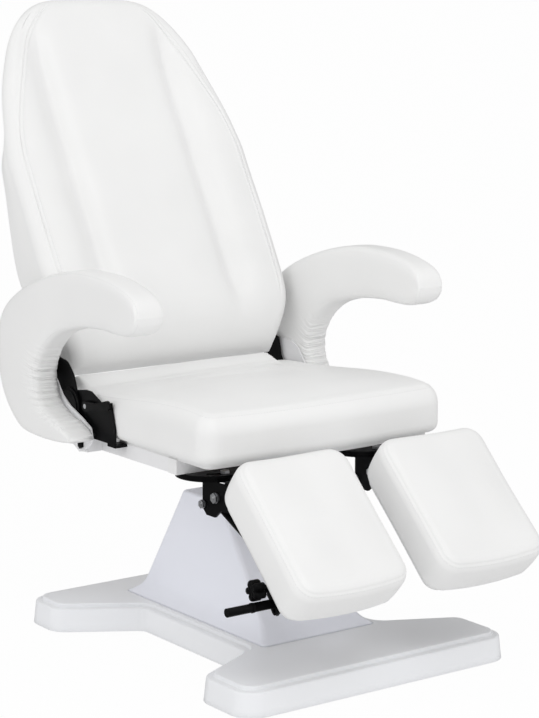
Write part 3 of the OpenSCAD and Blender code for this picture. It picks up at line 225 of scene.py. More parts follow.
class Finish:
    """A material: a principled shader, with nodes added by their type, settings
    and inputs. Patterns are laid on Object coordinates."""

    def __init__(self, name, color, roughness, **fixed):
        self.material = bpy.data.materials.new(name)
        self.material.use_nodes = True
        self.tree = self.material.node_tree
        self.shader = self.tree.nodes["Principled BSDF"]
        self.place = self.tree.nodes.new("ShaderNodeTexCoord").outputs["Object"]
        self.set("Base Color", color)
        self.set("Roughness", roughness)
        for socket, value in fixed.items():
            self.set(socket.replace("_", " "), value)

    def set(self, socket, value):
        """Gives a socket of the shader a value, a colour or a number."""
        place = self.shader.inputs[socket]
        if isinstance(value, Value):
            self.tree.links.new(value.socket, place)
        elif isinstance(value, tuple):
            place.default_value = (*value, 1)[:4]
        else:
            place.default_value = value

    def add(self, kind, settings, inputs, output=0):
        """Any node: its type, its settings, and the values or links of its sockets."""
        node = self.tree.nodes.new(kind)
        for key, value in settings.items():
            setattr(node, key, value)
        for key, value in inputs.items():
            if isinstance(value, Value):
                self.tree.links.new(value.socket, node.inputs[key])
            else:
                node.inputs[key].default_value = value
        return Value(self.tree, node.outputs[output])

    def stretched(self, scale):
        """Object coordinates, scaled along each axis."""
        node = self.tree.nodes.new("ShaderNodeMapping")
        self.tree.links.new(self.place, node.inputs["Vector"])
        node.inputs["Scale"].default_value = scale
        return Value(self.tree, node.outputs[0])

    def noise(self, scale, detail=3.0, stretch=(1, 1, 1), rough=0.5):
        """Cloudy pattern from 0 to 1, with about scale clouds to the metre."""
        return self.add("ShaderNodeTexNoise", {}, {"Vector": self.stretched(stretch), "Scale": scale,
                        "Detail": detail, "Roughness": rough})

    def cells(self, scale, feature="F1", stretch=(1, 1, 1)):
        """Cells, about scale to the metre: the distance from each cell's middle."""
        return self.add("ShaderNodeTexVoronoi", {"feature": feature},
                        {"Vector": self.stretched(stretch), "Scale": scale})

    def blend(self, factor, a, b):
        """Colour a where factor is 0 and b where it is 1."""
        node = self.tree.nodes.new("ShaderNodeMix")
        node.data_type = "RGBA"
        self.tree.links.new(factor.socket, node.inputs["Factor"])
        for place, value in ((node.inputs[6], a), (node.inputs[7], b)):
            if isinstance(value, Value):
                self.tree.links.new(value.socket, place)
            else:
                place.default_value = (*value, 1)
        return Value(self.tree, node.outputs[2])

    def bump(self, height, distance, strength=1.0):
        """Raises the surface by height times distance; calls add up."""
        node = self.tree.nodes.new("ShaderNodeBump")
        node.inputs["Distance"].default_value = distance
        node.inputs["Strength"].default_value = strength
        self.tree.links.new(height.socket, node.inputs["Height"])
        normal = self.shader.inputs["Normal"]
        if normal.is_linked:
            self.tree.links.new(normal.links[0].from_socket, node.inputs["Normal"])
        self.tree.links.new(node.outputs[0], normal)


def dress(piece, finish):
    """Gives a piece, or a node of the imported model, one material all over."""
    piece = frame["nodes"][piece] if isinstance(piece, str) else piece
    if not piece.data.materials:
        piece.data.materials.append(finish.material)
    for place in piece.material_slots:
        place.link = "DATA"
        place.material = finish.material
    return piece


# The cover of every pad: smooth white imitation leather with a fine pebbled
# grain, faint stretch lines and a soft sheen.
vinyl_white = (0.875, 0.875, 0.87)
vinyl_shade = (0.845, 0.845, 0.84)
vinyl = Finish("white_vinyl", vinyl_white, 0.46, Specular_IOR_Level=0.42)
cloud = vinyl.noise(5.0, 2.0)
vinyl.set("Base Color", vinyl.blend(cloud.clipped(0.35, 0.75), vinyl_white, vinyl_shade))
grain = vinyl.cells(1100.0, "SMOOTH_F1")
pebble = vinyl.noise(420.0, 2.0)
stretch_lines = vinyl.noise(60.0, 3.0, (0.25, 1, 1))
vinyl.set("Roughness", pebble * 0.10 + (cloud * 0.08 + 0.37))
vinyl.bump(grain, 0.00009)
vinyl.bump(pebble, 0.00012)
vinyl.bump(stretch_lines, 0.0004, 0.5)
thread = Finish("white_thread", (0.80, 0.80, 0.80), 0.6)
thread.bump(thread.noise(2500.0, 1.0), 0.00008)
stitch_pitch = 0.0065
stitch_l = 0.0045
stitch_r = 0.00045


def stitches(name, path, normal, body, closed=True):
    """Row of thread stitches along a path: each is a little spindle whose
    half-sunk rings follow the square root of 1 - s squared along its length s."""
    if closed:
        path, normal = np.vstack([path, path[:1]]), np.vstack([normal, normal[:1]])
    run = np.concatenate([[0], np.cumsum(np.linalg.norm(np.diff(path, axis=0), axis=1))])
    count = max(int(run[-1] / stitch_pitch), 1)
    at = (np.arange(count) + 0.5) * run[-1] / count

    def sample(values, where):
        return np.stack([np.interp(where, run, values[:, n]) for n in range(3)], -1)

    middle = sample(path, at)
    along = sample(path, np.minimum(at + 0.002, run[-1])) - sample(path, np.maximum(at - 0.002, 0))
    along /= np.linalg.norm(along, axis=1, keepdims=True)
    up = sample(normal, at)
    up /= np.linalg.norm(up, axis=1, keepdims=True)
    across = np.cross(up, along)
    s = np.array([-0.97, -0.6, 0.0, 0.6, 0.97])
    sides = 6
    a = 2 * np.pi * np.arange(sides) / sides
    radius = stitch_r * np.sqrt(1 - s ** 2)
    points = (middle[:, None, None] + along[:, None, None] * (s * stitch_l / 2)[None, :, None, None]
              + up[:, None, None] * (radius[:, None] * np.sin(a))[None, :, :, None]
              + across[:, None, None] * (radius[:, None] * np.cos(a) * 1.3)[None, :, :, None])
    per_stitch = len(s) * sides
    low_end, high_end = np.array([[5, 4, 3, 2], [5, 2, 1, 0]]), np.array([[0, 1, 2, 3], [0, 3, 4, 5]])
    one = np.vstack([skin_faces(len(s), sides), low_end, high_end + per_stitch - sides])
    faces = (one[None] + (per_stitch * np.arange(count))[:, None, None]).reshape(-1, 4)
    row = new_piece(name, points.reshape(-1, 3), faces.tolist(), body)
    return dress(row, thread)


def back_half(t):
    """Half width of the back at share t of its length. Above the shoulders it
    draws in as the fourth root of 1 less a power of the way to the top."""
    low = through(back_width_shares, np.clip(t / (1 - shoulder_share), 0, 1))
    way = np.clip((t - 1 + shoulder_share) / shoulder_share, 0, 1)
    return back_w / 2 * low * (1 - way ** shoulder_power) ** 0.25


def rear_inset(t):
    """How much narrower the rear of the back is than its front at share t."""
    return head_inset * ramp(t, *inset_shares)


def on_back(x, y, u):
    """Place in the chair of a point x across, y behind the pivot and u up the
    back, whose head bends a little forward."""
    y = y - head_lean * ramp((u - back_start) / back_l, lean_share, 1)
    c, s = math.cos(back_lean), math.sin(back_lean)
    return np.stack([x + 0 * u, recline_pivot[1] + y * c + u * s, recline_pivot[2] - y * s + u * c], -1)


def back_front(x, half, t):
    """How far the front face sinks, or stands out, at x: channels and bolsters.
    A channel is steep on its inner side and its bolster falls off to the edge."""
    d = np.abs(x) - channel_x
    d = np.where(d < 0, d / channel_in_w, d / channel_out_w)
    fade = (1 - ramp(t, *channel_head_shares)) * ramp(t, *channel_foot_shares)
    channel = channel_depth * np.exp(-np.abs(d) ** channel_power)
    bolster = bolster_h * np.where(d > 0, 1 - np.exp(-d * d), 0)
    outer_share = np.clip((np.abs(x) / half - edge_fall_share) / (1 - edge_fall_share), 0, 1)
    return fade * (channel - bolster) + edge_fall * outer_share ** 2


def back_grid(rows, front_n=161, corner_n=16, side_n=9, rear_n=31):
    """Rings of the back cushion: a flat front, two front corners, two sides, two
    rear corners and a flat rear, each from its own share of points."""
    t = (1 - np.cos(np.pi * np.arange(1, rows) / rows)) / 2
    half = back_half(t)[:, None]
    low, high = (back_l * t)[:, None], (back_l * (1 - t))[:, None]
    nose, heel, head = rounded_in(low, nose_l), rounded_in(low, heel_l), rounded_in(high, head_l)
    rear = back_t * through(back_rear_shares, t)[:, None] - back_face
    mid = (rear - back_face) / 2
    y0 = mid + (nose_y + (-back_face - nose_y) * nose - mid) * head
    y1 = mid + (nose_y + (rear - nose_y) * heel - mid) * head
    deep = y1 - y0
    ef = np.minimum(np.minimum(back_edge_r, deep * 0.45), half * 0.45)
    er = np.minimum(np.minimum(back_rear_r, deep * 0.3), half * 0.3)
    rear_half = half - rear_inset(t[:, None])
    one = np.ones_like(half)
    q = np.sin(np.linspace(-math.pi / 2, math.pi / 2, front_n))[None, :]
    front_x = (half - ef) * q
    soft = nose * head
    a = np.linspace(-90, 0, corner_n + 1)[None, 1:] * math.pi / 180
    side = np.linspace(0, 1, side_n + 2)[None, 1:-1]
    right_x = [half - ef + ef * np.cos(a), half + (rear_half - half) * side + back_swell * np.sin(np.pi * side),
               rear_half - er + er * np.cos(a + math.pi / 2)]
    right_y = [y0 + ef + ef * np.sin(a), y0 + ef + (deep - ef - er) * side,
               y1 - er + er * np.sin(a + math.pi / 2)]
    rear_x = (rear_half - er) * np.linspace(1, -1, rear_n)[None, 1:-1]
    x = np.hstack([front_x] + right_x + [rear_x] + [-v[:, ::-1] for v in right_x[::-1]])
    y = np.hstack([y0 * one + 0 * q] + right_y + [y1 + 0 * rear_x] + [v[:, ::-1] for v in right_y[::-1]])
    front_share = np.clip(1 - (y - y0) / np.maximum(deep * 0.55, 1e-4), 0, 1)
    y = y + soft * back_front(x, half, t[:, None]) * front_share
    u = back_start + low + 0 * x
    return t, x, y, u, front_n


back_t_rows, back_x, back_y, back_u, back_front_n = back_grid(190)
back_points = on_back(back_x, back_y, back_u)
back_out = grid_normals(back_points)
# The cover is pulled in along the seam, puckers beside it, and lies uneven on
# the foam elsewhere. The seam keeps seam_in from the edge, and more at the head.
seam_in = 0.027
head_seam_in = 0.013
seam_depth = 0.0016
seam_w = 0.0020
pucker_h = 0.0012
pucker_off = 0.0055
pucker_w = 0.003
front_depth = 0.022
ease_h = 0.0009
seam_x = back_half(back_t_rows) - seam_in - head_seam_in * ramp(back_t_rows, 0.60, 0.82)
on_front = back_y < (back_y.min(1) + front_depth)[:, None]
away = np.abs(back_x) - seam_x[:, None]
seam_rows = ramp(back_t_rows, 0.10, 0.16)[:, None] * (1 - ramp(back_t_rows, 0.955, 0.98))[:, None]
seam = pucker_h * bell(np.abs(away) - pucker_off, pucker_w) - seam_depth * bell(away, seam_w)
ease = ease_h * np.sin(back_u * 31 + back_x * 17) * np.sin(back_x * 23 - 1.0)
back_relief = on_front * seam_rows * seam + ease * ramp(back_t_rows, 0.05, 0.2)[:, None]
back_points = back_points + back_out * back_relief[..., None]
back_pad = closed_skin("back_upholstery", back_points, "back")
dress(back_pad, vinyl)
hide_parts("back_cushion")
for side, word in ((1, "right"), (-1, "left")):
    here = slice(0, back_front_n)
    path, path_out = (np.array([[np.interp(side * (seam_x[n] - pucker_off), back_x[n, here], values[n, here, k])
                                 for k in range(3)] for n in np.flatnonzero(seam_rows[:, 0] > 0.9)])
                      for values in (back_points, back_out))
    row = stitches("back_stitches_" + word, path, path_out, "back", False)


# Rear panel of the back: a curved plastic panel screwed over the staples of the
# cover. It stops short of the cushion's edge all round and its rim is rounded.
panel_t = 0.010
panel_inset = 0.018
panel_gap = 0.0003
panel_rim_r = 0.005
panel_low_share = 0.052
panel_high_share = 0.968
panel_round_share = 0.10
panel_rows = (1 - np.cos(np.pi * np.linspace(0, 1, 120))) / 2
panel_t_rows = panel_low_share + (panel_high_share - panel_low_share) * panel_rows
panel_half = back_half(panel_t_rows) - panel_inset - rear_inset(panel_t_rows)
panel_ends = (back_l * (panel_t_rows - panel_low_share), back_l * (panel_high_share - panel_t_rows))
panel_round = rounded_in(panel_ends[0], 0.03) * rounded_in(panel_ends[1], 0.02)
panel_half *= 1 - panel_round_share * (1 - panel_round)
panel_near = (back_t * through(back_rear_shares, panel_t_rows) - back_face + panel_gap)[:, None]
panel_rim = panel_rim_r * (1 - rounded_in(np.minimum(*panel_ends), panel_rim_r))[:, None]
q = np.linspace(-1, 1, 33)[None, :]
a = np.radians(np.linspace(0, 90, 6))[None, :]
panel_half = panel_half[:, None]
rim_x = panel_half - panel_rim_r * (1 - np.cos(a))
rim_depth = panel_t - panel_rim_r + panel_rim_r * np.sin(a)
panel_x = np.hstack([panel_half * q, rim_x, (panel_half - panel_rim_r) * -q[:, 1:-1], -rim_x[:, ::-1]])
panel_depth = np.hstack([0 * q, rim_depth, panel_t + 0 * q[:, 1:-1], rim_depth[:, ::-1]])
panel_depth = np.minimum(panel_depth, panel_t - panel_rim)
panel_u = back_start + back_l * panel_t_rows[:, None] + 0 * panel_x
back_shell = closed_skin("back_shell", on_back(panel_x, panel_near + panel_depth, panel_u), "back")
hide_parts("back_panel")


# Seat cushion: a thick crowned block on a plywood board, with a seam round the
# edge of its top panel. Years of sitting draw faint folds across its rear half.
seat_w = 0.599
seat_front = 0.308
seat_rear = 0.243
seat_t = 0.100
seat_base_z = 0.4483
seat_slope = 0.08
seat_low_r = 0.018
seat_top_r = 0.036
seat_corner_r = 0.040
seat_crown = 0.012
seat_bow = 0.010
seat_board_t = 0.008
seat_board_inset = 0.0245
cover_t = 0.0005
seat_rise = 0.013
edge_drop = 0.012
edge_drop_l = 0.12
tail_rise = 0.022
tail_left = 0.277
tail_right = 0.233


def soft_outline(hx, y0, y1, r, bows, corner_n, side_n):
    """Anticlockwise outline of a rounded box whose sides bow out: the front, the
    right, the rear and the left side. A side bows by 4 s (1 - s) at its share s."""
    points = []
    corners = [(hx - r, y0 + r, -90), (hx - r, y1 - r, 0), (r - hx, y1 - r, 90), (r - hx, y0 + r, 180)]
    for n, (cx, cy, start) in enumerate(corners):
        a = np.radians(start + np.linspace(0, 90, corner_n + 1))
        points.append(np.stack([cx + r * np.cos(a), cy + r * np.sin(a)], -1))
        here = points[-1][-1]
        nx, ny, nstart = corners[(n + 1) % 4]
        there = np.array([nx + r * math.cos(math.radians(nstart)), ny + r * math.sin(math.radians(nstart))])
        s = np.linspace(0, 1, side_n + 1)[1:-1, None]
        d = there - here
        out = np.array([d[1], -d[0]]) / np.linalg.norm(d)
        points.append(here + d * s + out * bows[(n + 1) % 4] * 4 * s * (1 - s))
    return np.vstack(points)


# Rings of a pad's underside: a share of the tucked outline, and one of its drop
under_rings = ((0.05, 1), (0.45, 1), (0.8, 1), (1, 1), (1, 0.4))


def pad_grid(shape, t, low_r, top_r, crown, swell, slope, counts, tuck, trough=0.0):
    """Rings of an upholstered block, from the middle of its underside, round the
    lower edge, up the side and round the upper edge to the middle of its crown.
    The cover is tucked round its board, tuck being the board's inset and thickness.
    Returns the points, and for each ring the length of the profile so far."""
    hx, y0, y1, r, bows, lean = shape
    corner_n, side_n = counts

    def ring(inset, h):
        return soft_outline(hx - inset, y0 + inset, y1 - inset - lean * (1 - h), max(r - inset, r / 2),
                            bows, corner_n, side_n)

    side = t - crown - top_r - low_r
    a = np.radians(np.linspace(0, 90, 7))
    profile = [(low_r * (1 - math.sin(v)), low_r * (1 - math.cos(v))) for v in a]
    profile += [(-swell * 4 * s * (1 - s), low_r + side * s) for s in np.linspace(0, 1, 18)[1:-1]]
    a = np.radians(np.linspace(0, 84, 22))
    profile += [(top_r * (1 - math.cos(v)), t - crown - top_r + top_r * math.sin(v)) for v in a]
    c = (y0 + y1) / 2
    half = np.array([hx, (y1 - y0) / 2]) - top_r
    rows = []
    under = ring(tuck[0], 0)
    for s, drop in under_rings:
        flat = (under - [0, c]) * s + [0, c]
        rows.append(np.column_stack([flat, np.full(len(flat), -tuck[1] * drop)]))
    for inset, h in profile:
        flat = ring(inset, h / t)
        rows.append(np.column_stack([flat, np.full(len(flat), h)]))
    rim = ring(top_r, 1)
    for s in np.concatenate([[0.985], np.linspace(0.965, 0.04, 76)]):
        x, y = rim[:, 0] * s, (rim[:, 1] - c) * s
        dome = np.clip(1 - (x / half[0]) ** 2, 0, 1) * np.clip(1 - (y / half[1]) ** 2, 0, 1)
        dip = trough * np.exp(-(x / (half[0] * 0.42)) ** 2) * np.clip(1 - (y / half[1]) ** 4, 0, 1)
        rows.append(np.column_stack([x, c + y, t - crown + crown * dome - dip]))
    points = np.array(rows)
    points[..., 2] *= 1 - slope * (points[..., 1] - c) / half[1]
    steps = np.linalg.norm(np.diff(np.array(profile), axis=0), axis=1)
    length = np.concatenate([[0], np.cumsum(steps)])
    return points, len(profile), length


seat_shape = (seat_w / 2, -seat_front, seat_rear, seat_corner_r, (seat_bow, 0, 0, 0), 0.0)
seat_points, seat_profile_n, seat_length = pad_grid(
    seat_shape, seat_t, seat_low_r, seat_top_r, seat_crown, 0.0, seat_slope, (20, 100),
    (seat_board_inset, seat_board_t + cover_t))
# The rear of the cushion rises under the back, between the hinges
tail = ramp(seat_points[..., 1], 0.155, 0.225) * ramp(seat_points[..., 0], -tail_left, 0.012 - tail_left)
tail *= 1 - ramp(seat_points[..., 0], tail_right - 0.010, tail_right)
seat_points[..., 2] += tail_rise * tail * ramp(seat_points[..., 2], 0.4 * seat_t, 0.85 * seat_t)
# The foam is thicker under the thighs, and falls away to the front edge
thigh = seat_rise * (1 - ramp(seat_points[..., 1], -0.16, 0.12))
thigh -= edge_drop * np.clip(1 - (seat_points[..., 1] + seat_front) / edge_drop_l, 0, 1) ** 2
seat_points[..., 2] += thigh * ramp(seat_points[..., 2], 0.1 * seat_t, 0.8 * seat_t)
seat_points[..., 2] += seat_base_z


pad_seam_w = 0.0016
pad_ridge_share = 0.3
pad_ridge_off = 0.0045
pad_ridge_w = 0.0025


def seam_relief(points, profile_n, length, from_top, depth):
    """Height of a seam that runs round a pad's edge, from_top metres down the
    profile: a narrow groove between two faint ridges."""
    away = (length[-1] - length) - from_top
    ridges = pad_ridge_share * bell(np.abs(away) - pad_ridge_off, pad_ridge_w)
    relief = np.zeros(points.shape[:2])
    relief[len(under_rings):len(under_rings) + profile_n] = depth * (ridges - bell(away, pad_seam_w))[:, None]
    return relief


def seam_ring(length, from_top):
    """The ring of a pad that lies from_top metres down its profile."""
    return len(under_rings) + int(np.argmin(np.abs(length[-1] - length - from_top)))


fold_w = 0.0048
fold_wave = 0.03
# Each fold: its place along the seat and across it, its reach, its height, and
# the phase of the wave that it follows
seat_folds = [
    (0.148, 0.02, 0.20, 0.0030, 0.3), (0.128, 0.10, 0.15, 0.0028, 0.9), (0.112, -0.05, 0.18, 0.0026, 1.4),
    (0.092, 0.12, 0.14, 0.0026, 0.5), (0.072, 0.03, 0.19, 0.0024, 0.1), (0.050, 0.14, 0.13, 0.0022, 0.7),
    (0.025, 0.05, 0.20, 0.0018, 2.0), (-0.02, 0.10, 0.16, 0.0012, 0.6), (-0.07, -0.06, 0.20, 0.0009, 1.1)]
seat_seam_from_top = 0.0115
seat_seam_depth = 0.0008
seat_ease_h = 0.0012
seat_stitch_off = 0.0050
seat_out = grid_normals(seat_points)
seat_x, seat_y = seat_points[..., 0], seat_points[..., 1]
on_top = np.zeros(seat_points.shape[:2])
on_top[len(under_rings) + seat_profile_n - 8:] = 1
folds = sum(height * bell(seat_x - x, reach)
            * bell(seat_y - y - fold_wave * np.sin(3.1 * seat_x + phase), fold_w)
            for y, x, reach, height, phase in seat_folds)
seat_ease = seat_ease_h * np.sin(seat_x * 14 + 0.5) * np.sin(seat_y * 12 + seat_points[..., 2] * 9)
seat_relief = seam_relief(seat_points, seat_profile_n, seat_length, seat_seam_from_top, seat_seam_depth)
seat_relief = seat_relief + on_top * folds + seat_ease
seat_points = seat_points + seat_out * seat_relief[..., None]
seat_pad = closed_skin("seat_upholstery", seat_points, "seat")
dress(seat_pad, vinyl)
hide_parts("seat_cushion")
seam_row = seam_ring(seat_length, seat_seam_from_top + seat_stitch_off)
stitches("seat_stitches", seat_points[seam_row], seat_out[seam_row], "seat")


# Leg pads: short thick blocks, hollowed a little along the middle for the calf,
# each on its own board. A stitched seam runs round the top panel.
leg_x = 0.191
tilt_place = np.array([0.0, -0.234, 0.368])
leg_tilt = math.radians(44)
leg_pad_w = 0.263
leg_pad_l = 0.318
leg_pad_t = 0.103
leg_pad_offset = 0.020
leg_low_r = 0.014
leg_top_r = 0.028
leg_corner_r = 0.040
leg_crown = 0.012
leg_swell = 0.001
leg_bow = 0.006
leg_lean = 0.016
calf_hollow = 0.005
pad_lead = 0.036
pad_rise = 0.103
leg_board_t = 0.009
leg_board_inset = 0.014
leg_seam_from_top = 0.0175
leg_seam_depth = 0.0010
leg_stitch_off = 0.0055
leg_ease_h = 0.0008


def on_leg(points, side):
    """Places points from a leg's own frame: its tilt pin at the origin, the leg
    along -Y and the pad square to it. The left leg is the right one mirrored."""
    c, s = math.cos(leg_tilt), math.sin(leg_tilt)
    x, y, z = points[..., 0], points[..., 1], points[..., 2]
    return np.stack([side * (leg_x + x), tilt_place[1] + y * c - z * s, tilt_place[2] + y * s + z * c], -1)


leg_shape = (leg_pad_w / 2, -pad_lead - leg_pad_l, -pad_lead, leg_corner_r, (leg_bow, 0, 0, 0), leg_lean)
leg_points, leg_profile_n, leg_length = pad_grid(
    leg_shape, leg_pad_t, leg_low_r, leg_top_r, leg_crown, leg_swell, 0.0, (14, 40),
    (leg_board_inset - 0.0008, leg_board_t + 0.0006), calf_hollow)
leg_out = grid_normals(leg_points)
leg_ease = leg_ease_h * np.sin(leg_points[..., 0] * 30 + 1) * np.sin(leg_points[..., 1] * 25)
leg_relief = seam_relief(leg_points, leg_profile_n, leg_length, leg_seam_from_top, leg_seam_depth) + leg_ease
leg_points = leg_points + leg_out * leg_relief[..., None]
leg_seam_row = seam_ring(leg_length, leg_seam_from_top + leg_stitch_off)
leg_points[..., 0] -= leg_pad_offset
leg_points[..., 2] += pad_rise + leg_board_t + 0.0003
for side, word in ((-1, "left"), (1, "right")):
    pad = closed_skin("leg_upholstery_" + word, on_leg(leg_points, side), "pad_" + word)
    dress(pad, vinyl)
    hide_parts("leg_pad_" + word)
    seam_out = on_leg(leg_out, side)[leg_seam_row] - on_leg(np.zeros((1, 3)), side)
    row = stitches("leg_stitches_" + word, on_leg(leg_points, side)[leg_seam_row], seam_out, "pad_" + word)


# Armrests: a thick curl of foam round a steel core, its side faces sewn to one
# long band. The band is gathered tight on the inside of the bend.
armrest_l = 0.551
armrest_h = 0.360
armrest_z = 0.437
armrest_front = 0.196
armrest_w = 0.068
armrest_in = 0.3153
section_power = 0.4
gathers = 84
gather_h = 0.0036
arm_seam_depth = 0.0018
arm_pucker_h = 0.0008
# Each row: the inner edge of the curl, its outer edge, both as shares of the
# length and the height, and the share of the width that the pad has there
armrest_shares = [
    [0.000, 0.806, 0.000, 0.818, 0.88], [0.008, 0.762, 0.007, 0.866, 0.96],
    [0.032, 0.722, 0.028, 0.912, 0.99], [0.085, 0.698, 0.078, 0.949, 1],
    [0.160, 0.697, 0.160, 0.981, 1], [0.250, 0.702, 0.259, 0.999, 1],
    [0.366, 0.689, 0.402, 1.000, 1], [0.464, 0.661, 0.545, 0.969, 1],
    [0.554, 0.619, 0.696, 0.906, 1], [0.630, 0.547, 0.839, 0.817, 1],
    [0.680, 0.467, 0.938, 0.717, 1], [0.709, 0.383, 0.988, 0.597, 1],
    [0.714, 0.311, 1.000, 0.453, 1], [0.705, 0.244, 0.991, 0.328, 1],
    [0.684, 0.194, 0.966, 0.217, 1], [0.652, 0.158, 0.912, 0.111, 1],
    [0.607, 0.133, 0.827, 0.022, 1], [0.559, 0.111, 0.705, 0.000, 1],
    [0.512, 0.086, 0.571, 0.003, 0.97], [0.477, 0.050, 0.470, 0.017, 0.85]]


def armrest_grid(rows, columns):
    """Rings round the curl: between its inner and outer edge the section is a
    rounded square, whose sine and cosine are raised to a power under one."""
    t = np.linspace(0, 1, rows)
    r = through(armrest_shares, t)
    a = 2 * np.pi * (np.arange(columns) + 0.5) / columns
    # Points crowd towards the corners of the section, where the seams are
    a = a - 0.16 * np.sin(4 * a)
    cos_a = np.sign(np.cos(a)) * np.abs(np.cos(a)) ** section_power
    sin_a = np.sign(np.sin(a)) * np.abs(np.sin(a)) ** section_power
    v = 0.5 + 0.5 * cos_a
    x = armrest_in + armrest_w / 2 * (1 + r[:, 4:5] * sin_a)
    y = (r[:, 0:1] + (r[:, 2:3] - r[:, 0:1]) * v) * armrest_l - armrest_front
    z = armrest_z + (r[:, 1:2] + (r[:, 3:4] - r[:, 1:2]) * v) * armrest_h
    return t, a, np.stack([x, y, z], -1)


arm_t, arm_a, arm_points = armrest_grid(420, 112)
arm_out = grid_normals(arm_points)
# The gathers are uneven ridges across the inside of the bend
inner = np.clip(-np.cos(arm_a), 0, 1)[None, :]
bend = (ramp(arm_t, 0.43, 0.58) * (1 - ramp(arm_t, 0.93, 0.99)))[:, None]
run = arm_t[:, None] * gathers
wave = run + 0.30 * np.sin(2.3 * run) + 0.45 * np.sin(3 * arm_a)[None, :]
gather = np.abs(np.sin(np.pi * wave)) ** 1.5 - 0.5
arm_relief = bend * inner ** 1.2 * gather * gather_h * (0.75 + 0.25 * np.sin(1.7 * run))
# A seam runs along each corner of the section, at these degrees round it
ends = (ramp(arm_t, 0.0, 0.01) * (1 - ramp(arm_t, 0.97, 1.0)))[:, None]
for corner in (45, 135, 225, 315):
    off = np.abs(np.degrees(arm_a) - corner)[None, :]
    arm_relief = arm_relief + ends * (arm_pucker_h * bell(off - 5, 2.5) - arm_seam_depth * bell(off, 1.6))
arm_points = arm_points + arm_out * arm_relief[..., None]
for side, word in ((-1, "left"), (1, "right")):
    points = arm_points * np.array([side, 1, 1])
    pad = closed_skin("armrest_upholstery_" + word, points, "armrest_" + word)
    dress(pad, vinyl)
    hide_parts("armrest_pad_" + word)
    for corner in (38, 142):
        place = int(np.argmin(np.abs(np.degrees(arm_a) - corner)))
        path, path_out = points[12:-12, place], (arm_out * np.array([side, 1, 1]))[12:-12, place]
        row = stitches("armrest_stitches_%s_%d" % (word, corner), path, path_out, "armrest_" + word, False)


# Base cover: a low moulded shell in the shape of an H, with a ledge round its
# raised middle. It hides the welded foot frame and stands on four rubber glides.
base_w = 0.664
base_front = 0.484
base_rear = 0.336
base_h = 0.060
waist_w = 0.344
waist_front = 0.250
waist_rear = 0.113
front_foot_l = 0.154
rear_foot_l = 0.121
foot_corner_r = 0.050
waist_blend_r = 0.026
base_draft = 0.005
ledge_w = 0.015
ledge_step = 0.008
cover_wall = 0.003
cover_lift = 0.003


def base_ring(inset, z, corner_n=12):
    """Outline of the base at height z, moved in by inset: straight sides and round
    corners, whose radius shrinks outside and grows in the notches. Each corner is
    an arc about a centre that lies its radius in from both of its sides."""
    hw, ww = base_w / 2, waist_w / 2
    right = [(hw, -base_front, 1), (hw, front_foot_l - base_front, 1), (ww, -waist_front, -1),
             (ww, waist_rear, -1), (hw, base_rear - rear_foot_l, 1), (hw, base_rear, 1)]
    shape = right + [(-x, y, k) for x, y, k in right[::-1]]
    corner = np.array([p[:2] for p in shape])
    kinds = [p[2] for p in shape]
    count = len(corner)
    edges = np.roll(corner, -1, axis=0) - corner
    edges /= np.linalg.norm(edges, axis=1, keepdims=True)
    inward = np.stack([-edges[:, 1], edges[:, 0]], -1)
    points = []
    for n in range(count):
        e0, e1 = edges[n - 1], edges[n]
        n0, n1 = inward[n - 1], inward[n]
        bisector = (n0 + n1) / (1 + n0 @ n1)
        moved = corner[n] + bisector * inset
        r = foot_corner_r - inset if kinds[n] > 0 else waist_blend_r + inset
        r = max(r, 0.001)
        turn_angle = math.acos(np.clip(e0 @ e1, -1, 1))
        reach = r * math.tan(turn_angle / 2)
        centre = moved - e0 * reach + (n0 if kinds[n] > 0 else -n0) * r
        start = moved - e0 * reach - centre
        sign = 1 if kinds[n] > 0 else -1
        for k in range(corner_n + 1):
            a = sign * turn_angle * k / corner_n
            points.append(centre + [start[0] * math.cos(a) - start[1] * math.sin(a),
                                    start[0] * math.sin(a) + start[1] * math.cos(a)])
    points = np.array(points)
    return np.column_stack([points, np.full(len(points), z)])


shell_white = (0.905, 0.915, 0.935)
shell_shade = (0.89, 0.90, 0.925)


def moulded(name, color, shade, cloud_scale, smoothest, specular):
    """Glossy moulded plastic: in slow clouds its colour turns to a shade and its
    roughness rises by a tenth from the smoothest, over a fine grain."""
    finish = Finish(name, color, smoothest, Specular_IOR_Level=specular)
    cloud = finish.noise(cloud_scale, 2.0)
    finish.set("Base Color", finish.blend(cloud.clipped(0.3, 0.8), color, shade))
    finish.set("Roughness", cloud * 0.10 + smoothest)
    finish.bump(finish.noise(900.0, 2.0), 0.00005)
    return finish


shell = moulded("white_shell", shell_white, shell_shade, 3.0, 0.29, 0.45)
ledge_z = base_h - ledge_step
rim_r = 0.005
step_r = 0.003
rings = [(cover_wall, cover_lift), (0.0008, cover_lift), (0, cover_lift + 0.0008)]
rings += [(base_draft * s, cover_lift + (ledge_z - rim_r - cover_lift) * s) for s in (0.33, 0.66, 1.0)]
rings += [(base_draft + rim_r * (1 - math.cos(a)), ledge_z - rim_r + rim_r * math.sin(a))
          for a in np.radians([12, 24, 36, 48, 60, 72, 84, 90])]
ledge_in = base_draft + ledge_w
rings += [(ledge_in - step_r + step_r * math.sin(a), ledge_z + step_r * (1 - math.cos(a)))
          for a in np.radians([0, 22, 45, 67, 90])]
rings += [(ledge_in + step_r * (1 - math.cos(a)), base_h - step_r + step_r * math.sin(a))
          for a in np.radians([0, 18, 36, 54, 72, 90])]
outer = np.array([base_ring(*r) for r in rings])
inner_z = base_h - cover_wall
inner_rings = [(ledge_in + 0.004, inner_z), (ledge_in + cover_wall, inner_z - 0.002),
               (ledge_in + cover_wall, ledge_z - cover_wall), (base_draft + cover_wall, ledge_z - cover_wall),
               (cover_wall, cover_lift)]
inner_side = np.array([base_ring(*r) for r in inner_rings])
count = outer.shape[1]
